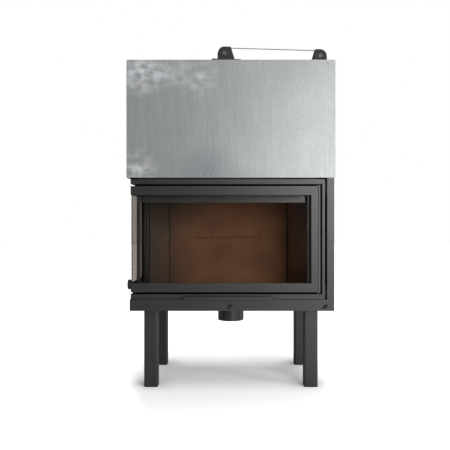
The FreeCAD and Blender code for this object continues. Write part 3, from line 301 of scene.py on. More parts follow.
drift_share = zinc.spread(drift, low=0.0, high=1.0, start=0.35, end=0.7)
streak_share = zinc.math("MULTIPLY", zinc.spread(streaks, low=0.0, high=0.5, start=0.42, end=0.7),
                         zinc.spread(zinc.along("X"), low=1.0, high=0.25, start=-0.1, end=0.35))
mottle_share = zinc.spread(mottle, low=0.0, high=0.3, start=0.42, end=0.72)
crystal_share = zinc.spread(crystal_tone, low=0.0, high=0.16, start=0.2, end=0.8)
colour = zinc.mix(drift_share, shade(116, 119, 120), shade(130, 132, 132))
colour = zinc.mix(streak_share, colour, shade(104, 108, 110))
colour = zinc.mix(mottle_share, colour, shade(154, 155, 153))
colour = zinc.mix(crystal_share, colour, shade(98, 102, 104))
for spot, reach, amount in PALE_CLOUDS:
    colour = zinc.mix(cloud(spot, reach, amount, wisps), colour, shade(200, 201, 204))
colour = zinc.mix(cloud(*DARK_CLOUD, mottle), colour, shade(78, 84, 88))
zinc.bump(mottle, depth=0.00004, strength=0.3)
finishes["galvanised_steel"] = zinc.set(
    Base_Color=colour,
    Metallic=0.65,
    Roughness=zinc.spread(streaks, low=0.43, high=0.47),
)
print("galvanised sheet with", len(PALE_CLOUDS), "pale clouds ready")

# %% [markdown]
# ## Fireclay with soot and painted shade
# The linings are cast from fireclay. They are warm brown in the middle of the hearth and turn grey away from it:
# partly soot, and partly painted shade, as the tone falls off like firelight with the way from the middle.
# The upright joints beside the back wall are painted dark as the shade in those corners. Soot and shade could be
# painted on by hand, but they follow a simple rule: the tone depends on the way to the middle of
# the hearth and to the two joints. Grit and pits give a coarse bump.

# %% Fireclay with soot and painted shade
HEARTH_MIDDLE = (0.07, 0.1, 0.55)
JOINT_REACH = 0.005
clay = Finish("refractory_brick")
smoke = clay.noise(scale=6.0, detail=5.0)
grit = clay.noise(scale=420.0, detail=4.0)
pits = clay.cells(scale=230.0).outputs["Distance"]
grit_share = clay.spread(grit, low=0.0, high=0.4, start=0.45, end=0.75)
# partly soot, partly painted shade: the clay greys with the way from the middle of the hearth
soot_and_shade_share = clay.spread(clay.distance(HEARTH_MIDDLE), low=0.0, high=0.9, start=0.24, end=0.44)
colour = clay.mix(clay.spread(smoke, low=0.0, high=1.0), shade(110, 73, 48), shade(86, 55, 36))
colour = clay.mix(grit_share, colour, shade(118, 87, 64))
colour = clay.mix(soot_and_shade_share, colour, shade(46, 41, 35))
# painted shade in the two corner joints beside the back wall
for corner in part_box("back_lining_upper"):
    beside = clay.math("ABSOLUTE", clay.math("SUBTRACT", clay.along("X"), corner.x))
    joint_shade_share = clay.spread(beside, low=0.85, high=0.0, start=0.001, end=JOINT_REACH)
    colour = clay.mix(joint_shade_share, colour, shade(16, 14, 13))
clay.bump(pits, depth=0.0006, strength=0.35)
clay.bump(grit, depth=0.0004, strength=0.6)
finishes["refractory_brick"] = clay.set(Base_Color=colour, Roughness=0.92)
print("fireclay ready")

# %% [markdown]
# ## Raw and primed metals
# The boiler plate is primed dark, the brackets are raw plate, the grate is a casting, and the small
# hardware is dull zinc. They differ in tone, in shine and in the size of their grain,
# so one function with those values makes them all.

# %% Raw and primed metals
METAL_SWING = 0.07


def metal_finish(slot, tone, other, metallic, dull, gloss, grain_scale, grain_depth):
    """A metal with two tones, a mean roughness called dull, and a grain."""
    metal = Finish(slot)
    clouds = metal.noise(scale=14.0, detail=4.0)
    metal.bump(metal.noise(grain_scale), grain_depth, strength=0.6)
    finishes[slot] = metal.set(
        Base_Color=metal.mix(metal.spread(clouds, low=0.0, high=1.0), tone, other),
        Metallic=metallic,
        Roughness=metal.spread(clouds, low=dull - METAL_SWING, high=dull + METAL_SWING),
        Specular_IOR_Level=gloss,
    )
    print(slot, "ready")


metal_finish("primed_boiler_steel", shade(60, 58, 57), shade(70, 66, 63),
             metallic=0.2, dull=0.62, gloss=0.5, grain_scale=500.0, grain_depth=0.0002)
metal_finish("bracket_steel", shade(18, 17, 16), shade(24, 23, 21),
             metallic=0.0, dull=0.55, gloss=0.2, grain_scale=600.0, grain_depth=0.0001)
metal_finish("zinc_hardware", shade(54, 54, 53), shade(66, 65, 63),
             metallic=0.9, dull=0.45, gloss=0.5, grain_scale=900.0, grain_depth=0.00005)
metal_finish("steel_cable", shade(92, 93, 94), shade(116, 116, 116),
             metallic=0.85, dull=0.38, gloss=0.5, grain_scale=900.0, grain_depth=0.00005)
metal_finish("cast_iron", shade(48, 46, 45), shade(62, 58, 55),
             metallic=0.25, dull=0.78, gloss=0.5, grain_scale=260.0, grain_depth=0.0006)

# %% [markdown]
# ## Plastic, rubber, rope and black grips
# Knob, caps and slide shoes are moulded plastic with a spark eroded texture. The stop rings are rubber.
# The seals are braided glass fibre, pale where new and grey where the smoke has reached.
# The grips of the air slides are dull near black, which also paints in the shadow they cast. All four are dull
# with a fine grain of cells, so again one function makes them.

# %% Plastic, rubber, rope and black grips
MOULDED_SWING = 0.06


def moulded_finish(slot, tone, other, dull, gloss, grain_scale, grain_depth):
    """A dull finish with two tones and a grain of small cells."""
    moulded = Finish(slot)
    tone_share = moulded.spread(moulded.noise(scale=40.0), low=0.0, high=1.0)
    wear = moulded.noise(scale=120.0)
    moulded.bump(moulded.cells(grain_scale).outputs["Distance"], grain_depth, strength=0.5)
    finishes[slot] = moulded.set(
        Base_Color=moulded.mix(tone_share, tone, other),
        Roughness=moulded.spread(wear, low=dull - MOULDED_SWING, high=dull + MOULDED_SWING),
        Specular_IOR_Level=gloss,
    )
    print(slot, "ready")


moulded_finish("black_plastic", shade(15, 15, 16), shade(20, 20, 20),
               dull=0.5, gloss=0.25, grain_scale=1100.0, grain_depth=0.0001)
moulded_finish("black_rubber", shade(20, 20, 20), shade(27, 27, 26),
               dull=0.72, gloss=0.25, grain_scale=500.0, grain_depth=0.0003)
moulded_finish("fibre_rope", shade(108, 102, 94), shade(80, 75, 68),
               dull=0.9, gloss=0.2, grain_scale=700.0, grain_depth=0.0005)
# painted shadow: the grips are near black partly to stand for the shadow they cast
moulded_finish("grip_paint", shade(8, 8, 8), shade(12, 12, 12),
               dull=0.7, gloss=0.15, grain_scale=900.0, grain_depth=0.0001)

# %% [markdown]
# ## Ceramic glass
# The panes are clear ceramic glass. Seen straight on they all but vanish. At a flat angle, as on the left
# return, they mirror more and look smoky, because the eye looks through a longer stretch of glass.
# A glass shader would need the two faces of each pane to bend the light. A clear pass-through mixed with
# a mirror by the viewing angle looks the same on a flat pane, and lets the lamps reach the firebox.
# Where the two panes meet, their ground edges are grey and let little light through.

# %% Ceramic glass
MIRROR_START = 0.76
EDGE_START = 0.0045
EDGE_END = 0.0055
MIRROR_CURVE = 2.0
SMOKY_CURVE = 3.0
glass = Finish("fire_glass")
soot = glass.noise(scale=7.0, detail=5.0)
glass.set(
    Base_Color=shade(226, 222, 214),
    Metallic=1.0,
    Roughness=glass.spread(soot, low=0.02, high=0.07),
)
flatness = glass.flatness()
mirror_share = glass.spread(flatness, low=0.0, high=1.0, start=MIRROR_START, end=1.0)
mirror = glass.math("POWER", mirror_share, MIRROR_CURVE)
smoky = glass.math("POWER", flatness, SMOKY_CURVE)
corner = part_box("front_glass")[0]
from_corner = glass.distance((corner.x, corner.y, 0), glass.stretched((1, 1, 0)))
ground_edge = glass.spread(from_corner, low=1.0, high=0.0, start=EDGE_START, end=EDGE_END)
tint = glass.mix(glass.spread(soot, low=0.0, high=1.0), shade(253, 252, 251), shade(249, 248, 246))
tint = glass.mix(smoky, tint, shade(150, 143, 132))
tint = glass.mix(ground_edge, tint, shade(150, 147, 142))
clear = glass.add("ShaderNodeBsdfTransparent", {"Color": tint}).outputs["BSDF"]
pane = glass.add("ShaderNodeMixShader", {"Fac": mirror, 1: clear, 2: glass.surface.outputs["BSDF"]})
finishes["fire_glass"] = glass.show(pane.outputs["Shader"])
print("ceramic glass ready")

# %% [markdown]
# ## Give every solid its finish
# Each solid names its finish in the record, so one loop dresses them all.

# %% Dress the solids
for node, solid in frame["nodes"].items():
    for holder in solid.material_slots:
        holder.material = finishes[slot_of_node[node]]
print(len(finishes), "finishes given out")

# %% [markdown]
# ## New pieces
# Some solids get a finer stand-in, and some small pieces are new. Both are made the same way:
# a bmesh is filled with points and faces, becomes an object, and gets one of the finishes.
# Faces that meet at less than the smoothing angle are shaded as one round surface.

# %% Piece helper
def loose_piece(name, mesh, slot, smooth_angle):
    """Turns a finished bmesh into an object with one of the finishes."""
    data = bpy.data.meshes.new(name)
    mesh.to_mesh(data)
    mesh.free()
    data.shade_smooth()
    data.set_sharp_from_angle(angle=math.radians(smooth_angle))
    data.materials.append(finishes[slot])
    piece = bpy.data.objects.new(name, data)
    bpy.context.scene.collection.objects.link(piece)
    return piece


def new_piece(name, mesh, node, smooth_angle=40):
    """A piece that stands for one solid and has its finish."""
    piece = loose_piece(name, mesh, slot_of_node[node], smooth_angle)
    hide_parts(node)
    return piece


print("piece helper ready")

# %% [markdown]
# ## Rolled edges
# Folded sheet never has a razor edge: the bend has a radius and the shears leave a small burr.
# A thin bevel on every sharp edge catches the light there. The solid itself stays as it is,
# so a welded copy is bevelled and stands in for it. A bevel modifier could do this too, but in code
# the copy can also be held inside the box of its solid, so that nothing grows.

# %% Rolled edges
WELD = 0.00001
NEARLY_FLAT = 0.002
SHARP = math.radians(35)
EDGE_RADII = {
    0.0005: ["casing_front", "casing_rear", "casing_left", "casing_right", "casing_top", "door_leaf",
             "lift_carriage", "front_fascia", "right_side_panel", "left_rear_panel", "lower_back_panel",
             "base_tray", "base_deck", "lift_handle", "air_wash_bar", "front_pulley_bracket",
             "rear_pulley_bracket", "air_intake_spigot", "flue_collar"],
    0.001: ["leg_end_caps", "firebox_frame", "counterweight", "fire_grate", "smoke_baffle"],
    0.002: ["back_lining_lower", "back_lining_upper", "left_lining", "right_lining", "hearth_plate"],
}


def roll_edges(node, radius):
    """Puts a copy with rolled edges in the place of a solid."""
    mesh = bmesh.new()
    mesh.from_mesh(frame["nodes"][node].data)
    bmesh.ops.remove_doubles(mesh, verts=mesh.verts, dist=WELD)
    bmesh.ops.dissolve_limit(mesh, angle_limit=NEARLY_FLAT, verts=mesh.verts, edges=mesh.edges)
    sharp = [edge for edge in mesh.edges if edge.is_manifold and edge.calc_face_angle() > SHARP]
    bmesh.ops.bevel(mesh, geom=sharp, offset=radius, segments=2, profile=0.5, affect="EDGES",
                    clamp_overlap=False)
    low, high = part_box(node)
    for vertex in mesh.verts:
        vertex.co = [min(max(value, least), most) for value, least, most in zip(vertex.co, low, high)]
    piece = new_piece("rolled_" + node, mesh, node)
    even = piece.modifiers.new("even_light", "WEIGHTED_NORMAL")
    even.keep_sharp = True
    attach(piece, body_of_node[node])


for radius, nodes in EDGE_RADII.items():
    for node in nodes:
        roll_edges(node, radius)
print(sum(len(nodes) for nodes in EDGE_RADII.values()), "pieces with rolled edges")

# %% [markdown]
# ## Screw heads
# Lid and panels are held by pan head screws with a cross recess. A cross could be cut out of a dome
# with a boolean, which leaves long thin faces. Here the head is a round grid, and the height of
# each of its points is worked out from the dome less the cross, so it stays smooth.

# %% Screw helper
SCREW_RADIUS = 0.0045
SCREW_HEIGHT = 0.0022
SCREW_RINGS = 14
SCREW_SECTORS = 48
SCREW_SMOOTH = 60
DOME_POWER = 3
RECESS_DEPTH = 0.58
RECESS_ARM = 0.00055
RECESS_REACH = 0.0024
RECESS_SOFT = 0.00025


def recess(x, y):
    """Depth share of the cross at a point of the head, soft at its edge."""
    upright_arm = max(abs(x) - RECESS_ARM, abs(y) - RECESS_REACH)
    level_arm = max(abs(y) - RECESS_ARM, abs(x) - RECESS_REACH)
    return max(0.0, min(1.0, 0.5 - min(upright_arm, level_arm) / RECESS_SOFT))


def add_screw(mesh, place, outward):
    """Adds one screw head at a place of the sheet, facing outward."""
    turn = outward.to_track_quat("Z", "Y").to_matrix()
    middle = mesh.verts.new(place + turn @ Vector((0, 0, SCREW_HEIGHT * (1 - RECESS_DEPTH))))
    last = None
    for ring in range(1, SCREW_RINGS + 1):
        radius = SCREW_RADIUS * ring / SCREW_RINGS
        dome = SCREW_HEIGHT * math.sqrt(max(0.0, 1 - (ring / SCREW_RINGS) ** DOME_POWER))
        loop = []
        for sector in range(SCREW_SECTORS):
            angle = math.tau * sector / SCREW_SECTORS
            x, y = radius * math.cos(angle), radius * math.sin(angle)
            height = max(0.0, dome - SCREW_HEIGHT * RECESS_DEPTH * recess(x, y))
            loop.append(mesh.verts.new(place + turn @ Vector((x, y, height))))
        for sector in range(SCREW_SECTORS):
            after = (sector + 1) % SCREW_SECTORS
            if last is None:
                mesh.faces.new((middle, loop[sector], loop[after]))
            else:
                mesh.faces.new((last[sector], loop[sector], loop[after], last[after]))
        last = loop


print("screw head of", SCREW_RINGS * SCREW_SECTORS + 1, "points ready")

# %% [markdown]
# ## Casing screws
# Four screws hold the lid to the front sheet and three to each side sheet, all at one height.
# They are new heads in the places of the plain solids, and they are zinc grey like the sheet.

# %% Casing screws
FRONT_SCREWS_X = (-0.41925, -0.13975, 0.13975, 0.41925)
SIDE_SCREWS_Y = (-0.2205, -0.0155, 0.1895)
screw_low, screw_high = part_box("casing_screws")
screw_z = (screw_low.z + screw_high.z) / 2
half_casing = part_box("casing_front")[1].x
screws = bmesh.new()
for x in FRONT_SCREWS_X:
    add_screw(screws, Vector((x, FRONT, screw_z)), Vector((0, -1, 0)))
for y in SIDE_SCREWS_Y:
    for side_sign in (-1, 1):
        add_screw(screws, Vector((side_sign * half_casing, y, screw_z)), Vector((side_sign, 0, 0)))
pan_head_screws = loose_piece("pan_head_screws", screws, "galvanised_steel", SCREW_SMOOTH)
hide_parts("casing_screws")
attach(pan_head_screws, "frame")
print("casing screws at height", round(screw_z, 3))

# %% [markdown]
# ## Panel screws
# The sheets of the lower body and the rear of the casing are screwed to the frame along their edges.
# The same screw head is set out along the top and the bottom of each sheet. Each row below names a sheet,
# the axis and the sign of the way it faces, and the number of screws along one edge.

# %% Panel screws
SCREW_EDGE = 0.018
PANELS = (
    ("lower_back_panel", "y", 1, 5),
    ("casing_rear", "y", 1, 5),
    ("right_side_panel", "x", 1, 4),
    ("left_rear_panel", "x", -1, 2),
)
panel_screws = bmesh.new()
for node, axis, sign, count in PANELS:
    low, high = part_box(node)
    outward = Vector((sign, 0, 0)) if axis == "x" else Vector((0, sign, 0))
    run = "y" if axis == "x" else "x"
    start, end = getattr(low, run) + SCREW_EDGE, getattr(high, run) - SCREW_EDGE
    for step in range(count):
        for z in (low.z + SCREW_EDGE, high.z - SCREW_EDGE):
            place = high.copy() if sign > 0 else low.copy()
            place.z = z
            setattr(place, run, start + (end - start) * step / (count - 1))
            add_screw(panel_screws, place, outward)
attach(loose_piece("panel_screws", panel_screws, "bracket_steel", SCREW_SMOOTH), "frame")
print("panel screws set on", len(PANELS), "sheets")

# %% [markdown]
# ## Socket threads
# The four water sockets have an inside pipe thread. A thread is a ridge that winds along the bore.
# Blender's screw modifier can wind it too, but round one axis only, so each socket would need an object
# of its own. Here a ring of three points goes along a helix just inside the bore of each socket,
# and all the threads are one mesh.

# %% Socket threads
BORE_RADIUS = 0.0151
THREAD_PITCH = 0.00231
THREAD_DEPTH = 0.0012
THREAD_TURNS = 9
THREAD_STEPS = 40
THREAD_INSET = 0.002
THREAD_SECTION = (
    (BORE_RADIUS, -THREAD_PITCH / 2),
    (BORE_RADIUS - THREAD_DEPTH, 0),
    (BORE_RADIUS, THREAD_PITCH / 2),
)


def join_rings(mesh, first, second):
    """Skins the space between two rings of points."""
    for side in range(len(first)):
        after = (side + 1) % len(first)
        mesh.faces.new((first[side], first[after], second[after], second[side]))


socket_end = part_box("water_sockets")[1].y
sockets = [mount["pos_m"] for mount in record["mounts"] if mount["name"].endswith("water_socket")]
threads = bmesh.new()
for x, _, z in sockets:
    last = None
    for step in range(THREAD_TURNS * THREAD_STEPS + 1):
        angle = math.tau * step / THREAD_STEPS
        deep = socket_end - THREAD_INSET - THREAD_PITCH * step / THREAD_STEPS
        ring = [threads.verts.new((x + radius * math.cos(angle), deep + shift, z + radius * math.sin(angle)))
                for radius, shift in THREAD_SECTION]
        if last:
            join_rings(threads, last, ring)
        last = ring
bmesh.ops.recalc_face_normals(threads, faces=threads.faces)
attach(loose_piece("socket_threads", threads, "zinc_hardware", smooth_angle=40), "frame")
print(len(sockets), "threaded sockets")

# %% [markdown]
# ## Latch knob
# The knob on the left side is a moulded disc that fingers turn by its rim. It is lathed from a profile,
# each row of which is a depth from the knob's seat and a radius. The rim gets shallow flutes
# by drawing the radius in a little between the ribs, which is lighter than cutting each flute out.

# %% Latch knob
KNOB_SECTORS = 144
KNOB_FLUTES = 24
KNOB_FLUTE_DEPTH = 0.0011
KNOB_RIM = 0.0205
knob_low, knob_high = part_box("latch_knob")
knob_y = (knob_low.y + knob_high.y) / 2
knob_z = (knob_low.z + knob_high.z) / 2
knob_radius = (knob_high.z - knob_low.z) / 2
knob_profile = [(0.0, 0.0051), (0.0, 0.0175), (0.0012, 0.0196), (0.0032, 0.0212), (0.0046, knob_radius),
                (0.009, knob_radius), (0.0108, 0.0212), (0.0126, 0.0197), (0.0134, 0.0186), (0.0131, 0.0172),
                (0.0122, 0.0150), (0.0117, 0.009), (0.0115, 0.0)]
knob_mesh = bmesh.new()
rings = []
for depth, radius in knob_profile:
    ring = []
    for sector in range(KNOB_SECTORS):
        angle = math.tau * sector / KNOB_SECTORS
        flute = 0.5 - 0.5 * math.cos(KNOB_FLUTES * angle)
        reach = radius - (KNOB_FLUTE_DEPTH * flute if radius > KNOB_RIM else 0.0)
        ring.append(knob_mesh.verts.new((knob_high.x - depth, knob_y + reach * math.cos(angle),
                                         knob_z + reach * math.sin(angle))))
    rings.append(ring)
for first, second in zip(rings, rings[1:]):
    join_rings(knob_mesh, first, second)
bmesh.ops.remove_doubles(knob_mesh, verts=knob_mesh.verts, dist=WELD)
bmesh.ops.recalc_face_normals(knob_mesh, faces=knob_mesh.faces)
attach(new_piece("fluted_knob", knob_mesh, "latch_knob", smooth_angle=35), "knob")
print("knob radius", round(knob_radius, 4))

# %% [markdown]
# ## Strands
# Cable and rope are both made of strands that wind round a path. A strand is a thin tube swept
# along a winding line, so one function serves the steel cable and the flat rope seals.
# A curve with a round bevel would be quicker, but it couldn't be pressed flat. So every point of a path
# carries the two directions across it and its half sizes along them.

# %% Strand helper
STRAND_SIDES = 6


def add_strands(mesh, path, count, strand_radius, lay):
    """Winds strands round path, a list of (point, across, upright, half width, half height)."""
    spokes = [math.tau * side / STRAND_SIDES for side in range(STRAND_SIDES)]
    for strand in range(count):
        travelled = 0.0
        rings = []
        previous = path[0][0]
        for point, across, upright, half_width, half_height in path:
            travelled += (point - previous).length
            previous = point
            phase = math.tau * (strand / count + travelled / lay)
            centre = (point + across * (half_width - strand_radius) * math.cos(phase)
                      + upright * (half_height - strand_radius) * math.sin(phase))
            rings.append([mesh.verts.new(centre + strand_radius * (
                across * math.cos(spoke) + upright * math.sin(spoke))) for spoke in spokes])
        for first, second in zip(rings, rings[1:]):
            join_rings(mesh, first, second)
        mesh.faces.new(rings[0][::-1])
        mesh.faces.new(rings[-1])
    bmesh.ops.recalc_face_normals(mesh, faces=mesh.faces)


print("strand helper ready")

# %% [markdown]
# ## Path of the lift cable
# The door hangs on one steel cable that runs over two pulleys to the counterweight. Its path is put
# together from straight runs and quarter turns over the pulleys. The axles come from the joints,
# so the cable follows the pulleys wherever they stand.

# %% Path of the lift cable
CABLE_RADIUS = 0.002
CABLE_STEP = 0.0016
PITCH_RADIUS = 0.025
UP = Vector((0, 0, 1))
axles = {joint["child"]: Vector(joint["pos_m"])
         for joint in frame["joints"] if joint["name"].endswith("pulley_spin")}
front_axle, rear_axle = axles["pulley_front"], axles["pulley_rear"]
along = (rear_axle - front_axle).normalized()
sideways = UP.cross(along)


def cable_point(point, tangent):
    """A point of a path with the directions across a round cable."""
    return point, sideways, tangent.cross(sideways), CABLE_RADIUS, CABLE_RADIUS


def straight_cable(start, end):
    """The points of a straight run."""
    steps = max(2, round((end - start).length / CABLE_STEP))
    tangent = (end - start).normalized()
    return [cable_point(start.lerp(end, step / steps), tangent) for step in range(steps + 1)]


def bent_cable(axle, first, second):
    """A quarter turn over a pulley from the direction first to the direction second."""
    steps = round(PITCH_RADIUS * math.pi / 2 / CABLE_STEP)
    bend = []
    for step in range(1, steps):
        angle = math.pi / 2 * step / steps
        spoke = first * math.cos(angle) + second * math.sin(angle)
        tangent = second * math.cos(angle) - first * math.sin(angle)
        bend.append(cable_point(axle + spoke * PITCH_RADIUS, tangent))
    return bend


run_path = (bent_cable(front_axle, -along, UP)
            + straight_cable(front_axle + UP * PITCH_RADIUS, rear_axle + UP * PITCH_RADIUS)
            + bent_cable(rear_axle, UP, along))
door_top = front_axle - along * PITCH_RADIUS
weight_top = rear_axle + along * PITCH_RADIUS
door_end = Vector((door_top.x, door_top.y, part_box("cable_anchor")[1].z))
weight_end = Vector((weight_top.x, weight_top.y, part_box("counterweight_eye")[1].z))
print("cable between the pulleys", round((rear_axle - front_axle).length, 3), "m")

# %% [markdown]
# ## Lift cable
# The part between the pulleys stays in place. The drop to the door gets shorter as the door rises
# and the drop to the weight gets longer, so these two are pieces of their own.

# %% Lift cable
CABLE_STRANDS = 6
CABLE_LAY = 0.026
CABLE_STRAND_SHARE = 0.36
cable_paths = {
    "lift_cable_run": run_path,
    "lift_cable_door_drop": straight_cable(door_end, door_top),
    "lift_cable_weight_drop": straight_cable(weight_end, weight_top),
}
cable_pieces = {}
for node, path in cable_paths.items():
    strands = bmesh.new()
    add_strands(strands, path, CABLE_STRANDS, CABLE_RADIUS * CABLE_STRAND_SHARE, CABLE_LAY)
    cable_pieces[node] = new_piece("stranded_" + node, strands, node, smooth_angle=60)
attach(cable_pieces["lift_cable_run"], "frame")
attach(cable_pieces["lift_cable_door_drop"], "frame")
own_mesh(cable_pieces["lift_cable_door_drop"])
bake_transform(cable_pieces["lift_cable_weight_drop"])

# %% [markdown]
# ## Path of the rope seals
# Glass fibre rope lies between the door and the firebox, and between the leaf and its carriage.
# It is pressed flat and goes round the glass corner in one length. The path follows the middle of the
# rope's solid, with small arcs at its corners, and turns its flat side from the front to the left
# on the way round the glass corner.

# %% Path of the rope seals
ROPE_WIDTH = 0.010
ROPE_STEP = 0.003
CORNER_RADIUS = 0.009
GLASS_CORNER_RADIUS = 0.002
ARC_FINENESS = 1.6


def seal_path(low, high, front_depth, side_depth):
    """The closed path of a seal inside the box of its solid."""
    left, right = low.x + side_depth / 2, high.x - ROPE_WIDTH / 2
    near, far = low.y + front_depth / 2, high.y - ROPE_WIDTH / 2
    bottom, top = low.z + ROPE_WIDTH / 2, high.z - ROPE_WIDTH / 2
    ahead, outward = Vector((0, -1, 0)), Vector((-1, 0, 0))
    corners = [(Vector((right, near, bottom)), ahead, ahead, CORNER_RADIUS),
               (Vector((left, near, bottom)), ahead, outward, GLASS_CORNER_RADIUS),
               (Vector((left, far, bottom)), outward, outward, CORNER_RADIUS),
               (Vector((left, far, top)), outward, outward, CORNER_RADIUS),
               (Vector((left, near, top)), outward, ahead, GLASS_CORNER_RADIUS),
               (Vector((right, near, top)), ahead, ahead, CORNER_RADIUS)]
    path = []
    for index, (corner, face, next_face, radius) in enumerate(corners):
        next_corner, _, _, next_radius = corners[(index + 1) % len(corners)]
        come = (corner - corners[index - 1][0]).normalized()
        go = (next_corner - corner).normalized()
        centre = corner - come * radius + go * radius
        arc_steps = max(3, round(radius / ROPE_STEP * ARC_FINENESS))
        for step in range(arc_steps + 1):
            angle = math.pi / 2 * step / arc_steps
            normal = (face * math.cos(angle) + next_face * math.sin(angle)).normalized()
            tangent = come * math.cos(angle) + go * math.sin(angle)
            point = centre - go * radius * math.cos(angle) + come * radius * math.sin(angle)
            thick = front_depth + (side_depth - front_depth) * abs(normal.x)
            path.append((point, tangent.cross(normal), normal, ROPE_WIDTH / 2, thick / 2))
        last = path[-1]
        end = next_corner - go * next_radius
        steps = max(2, round((end - last[0]).length / ROPE_STEP))
        path += [(last[0].lerp(end, step / steps), *last[1:]) for step in range(1, steps)]
    return path + [path[0]]


print("seal path with", CORNER_RADIUS, "m corners ready")

# %% [markdown]
# ## Rope seals
# Five soft strands wind along each path. The seal of the leaf is thicker at the front than on the left,
# so each row below gives the two depths.

# %% Rope seals
SEAL_DEPTHS = {"frame_rope_seal": (0.0037, 0.0037), "leaf_rope_seal": (0.011, 0.004)}
ROPE_STRANDS = 5
ROPE_STRAND_RADIUS = 0.00165
ROPE_LAY = 0.028
for node, (front_depth, side_depth) in SEAL_DEPTHS.items():
    rope = bmesh.new()
    path = seal_path(*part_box(node), front_depth, side_depth)
    add_strands(rope, path, ROPE_STRANDS, ROPE_STRAND_RADIUS, ROPE_LAY)
    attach(new_piece("braided_" + node, rope, node, smooth_angle=70), body_of_node[node])
    print(node, len(path), "points")

# %% [markdown]
# ## Studio
# The stove stands in an even white surround. The eye and the glass see the surround as plain white.
# Rough metal sees it white on the right and dark on the left, where the room is darker,
# and the light on matt surfaces falls off the same way. One background could not do all three,
# so its strength is chosen by the kind of ray that meets it.

# %% Studio
world = bpy.data.worlds.new("studio")
bpy.context.scene.world = world
world.use_nodes = True
sky = world.node_tree
sky_light = sky.nodes["Background"]
rays = sky.nodes.new("ShaderNodeLightPath")
direction = sky.nodes.new("ShaderNodeSeparateXYZ")
sky.links.new(sky.nodes.new("ShaderNodeTexCoord").outputs["Generated"], direction.inputs["Vector"])


def side_ramp(start, end, left, right):
    """Brightness that rises from left to right over the middle of the surround."""
    ramp = sky.nodes.new("ShaderNodeMapRange")
    for name, value in (("From Min", start), ("From Max", end), ("To Min", left), ("To Max", right)):
        ramp.inputs[name].default_value = value
    sky.links.new(direction.outputs["X"], ramp.inputs["Value"])
    return ramp.outputs["Result"]


def choose(ray, otherwise, chosen):
    """Hands on the value chosen for one kind of ray and the other value for the rest."""
    switch = sky.nodes.new("ShaderNodeMix")
    sky.links.new(rays.outputs[ray], switch.inputs[0])
    sky.links.new(otherwise, switch.inputs[2])
    if isinstance(chosen, bpy.types.NodeSocket):
        sky.links.new(chosen, switch.inputs[3])
    else:
        switch.inputs[3].default_value = chosen
    return switch.outputs[0]


matt_light = side_ramp(start=-0.8, end=0.8, left=0.14, right=0.72)
mirrored_light = side_ramp(start=-0.15, end=0.25, left=0.0, right=1.0)
strength = choose("Is Glossy Ray", matt_light, mirrored_light)
for ray in ("Is Transmission Ray", "Is Camera Ray"):
    strength = choose(ray, strength, 1.0)
sky.links.new(strength, sky_light.inputs["Strength"])
sky_light.inputs["Color"].default_value = (1, 1, 1, 1)
print("studio surround ready")

# %% [markdown]
# ## Floor
# The floor is a wide pale sheet under the stove. It is plain and matt, so it keeps the stove's shadow.

# %% Floor
FLOOR_REACH = 15.0
floor_mesh = bmesh.new()
bmesh.ops.create_grid(floor_mesh, x_segments=1, y_segments=1, size=FLOOR_REACH)
floor_data = bpy.data.meshes.new("studio_floor")
floor_mesh.to_mesh(floor_data)
floor_mesh.free()
floor = bpy.data.objects.new("studio_floor", floor_data)
bpy.context.scene.collection.objects.link(floor)
floor_paint = Finish("floor_paint")
floor_paint.set(Base_Color=shade(236, 236, 236), Roughness=0.9)
floor_data.materials.append(floor_paint.material)
print("floor ready")

# %% [markdown]
# ## Glow of the floor
# Away from the stove the floor has to run into the white surround without an edge. More light would
# bleach the stove too. So the floor itself glows, but only for the rays that look at it:
# little under the stove, more with the way from its footprint, and least close round the four feet,
# so the glow also paints the outline of the shadow and a deeper contact shadow round each foot.

# %% Glow of the floor
HALF_FOOTPRINT = 0.29
FOOTPRINT_SHIFT = 0.22
FALL_BESIDE = 2.8
FALL_AHEAD = 0.75
FOOT_INSET = 0.03
looks = floor_paint.add("ShaderNodeLightPath").outputs
mirror_share = floor_paint.spread(floor_paint.along("X"), low=0.0, high=0.8, start=-0.6, end=0.9)
mirrored = floor_paint.math("MULTIPLY", looks["Is Glossy Ray"], mirror_share)
seen = floor_paint.math("MAXIMUM", looks["Is Camera Ray"], mirrored)
seen = floor_paint.math("MAXIMUM", seen, looks["Is Transmission Ray"])
from_middle = floor_paint.math("ABSOLUTE", floor_paint.along("X"))
beyond_legs = floor_paint.math("MAXIMUM", floor_paint.math("SUBTRACT", from_middle, HALF_FOOTPRINT), 0.0)
beside = floor_paint.math("MULTIPLY", beyond_legs, FALL_BESIDE)
from_front = floor_paint.math("ADD", floor_paint.along("Y"), FOOTPRINT_SHIFT)
ahead = floor_paint.math("MULTIPLY", from_front, FALL_AHEAD)
beside_squared = floor_paint.math("MULTIPLY", beside, beside)
ahead_squared = floor_paint.math("MULTIPLY", ahead, ahead)
away = floor_paint.math("SQRT", floor_paint.math("ADD", beside_squared, ahead_squared))
lift_to_white = floor_paint.spread(away, low=0.14, high=0.85, start=0.25, end=0.62)
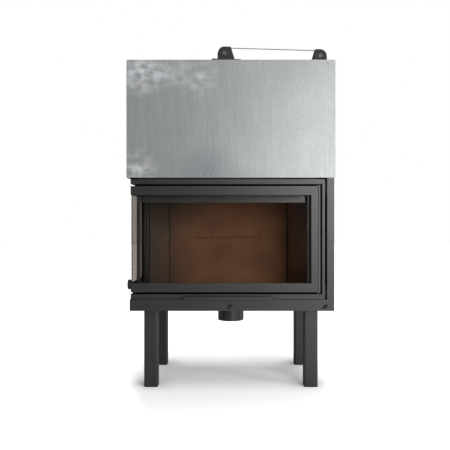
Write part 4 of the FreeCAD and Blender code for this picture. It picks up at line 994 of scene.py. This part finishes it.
legs_low, legs_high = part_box("leg_end_caps")
# painted contact shadow: the glow fades out round each foot
for foot_x in (legs_low.x + FOOT_INSET, legs_high.x - FOOT_INSET):
    for foot_y in (legs_low.y + FOOT_INSET, legs_high.y - FOOT_INSET):
        to_foot = floor_paint.distance((foot_x, foot_y, 0))
        foot_shadow = floor_paint.spread(to_foot, low=0.45, high=1.0, start=0.04, end=0.13)
        lift_to_white = floor_paint.math("MULTIPLY", lift_to_white, foot_shadow)
strength = floor_paint.math("MULTIPLY", seen, lift_to_white)
glow = floor_paint.add("ShaderNodeEmission", {"Color": (1, 1, 1, 1), "Strength": strength})
matt_floor = floor_paint.surface.outputs["BSDF"]
both = floor_paint.add("ShaderNodeAddShader", {0: matt_floor, 1: glow.outputs["Emission"]})
floor_paint.show(both.outputs["Shader"])
print("floor glow ready")

# %% [markdown]
# ## Lamps
# Soft boxes light the stove. A large one stands in front on the right like a window, one hangs above,
# a weak one fills in from the left, and a narrow strip on the right draws the edges of the sheets.
# Area lamps fit here, because matt paint and zinc show broad soft highlights and no hard spots.

# %% Lamps
def soft_box(name, place, target, width, height, power):
    """A rectangular lamp at a place, turned to a target."""
    lamp_data = bpy.data.lights.new(name, "AREA")
    lamp_data.shape = "RECTANGLE"
    lamp_data.size = width
    lamp_data.size_y = height
    lamp_data.energy = power
    lamp = bpy.data.objects.new(name, lamp_data)
    lamp.location = place
    lamp.rotation_euler = (Vector(target) - Vector(place)).to_track_quat("-Z", "Y").to_euler()
    bpy.context.scene.collection.objects.link(lamp)
    print(name, power, "W")


soft_box("window_light", place=(1.35, -3.3, 1.3), target=(0.2, FRONT, 0.95), width=1.3, height=1.6, power=82)
soft_box("top_light", place=(0.2, -0.6, 3.4), target=(0.1, -0.1, 0.9), width=2.2, height=2.2, power=45)
soft_box("front_fill", place=(-1.3, -2.6, 2.4), target=(0.1, 0, 0.6), width=1.6, height=1.0, power=12)
soft_box("side_strip", place=(2.3, -1.5, 0.9), target=(0.4, FRONT, 0.7), width=0.4, height=1.6, power=16)
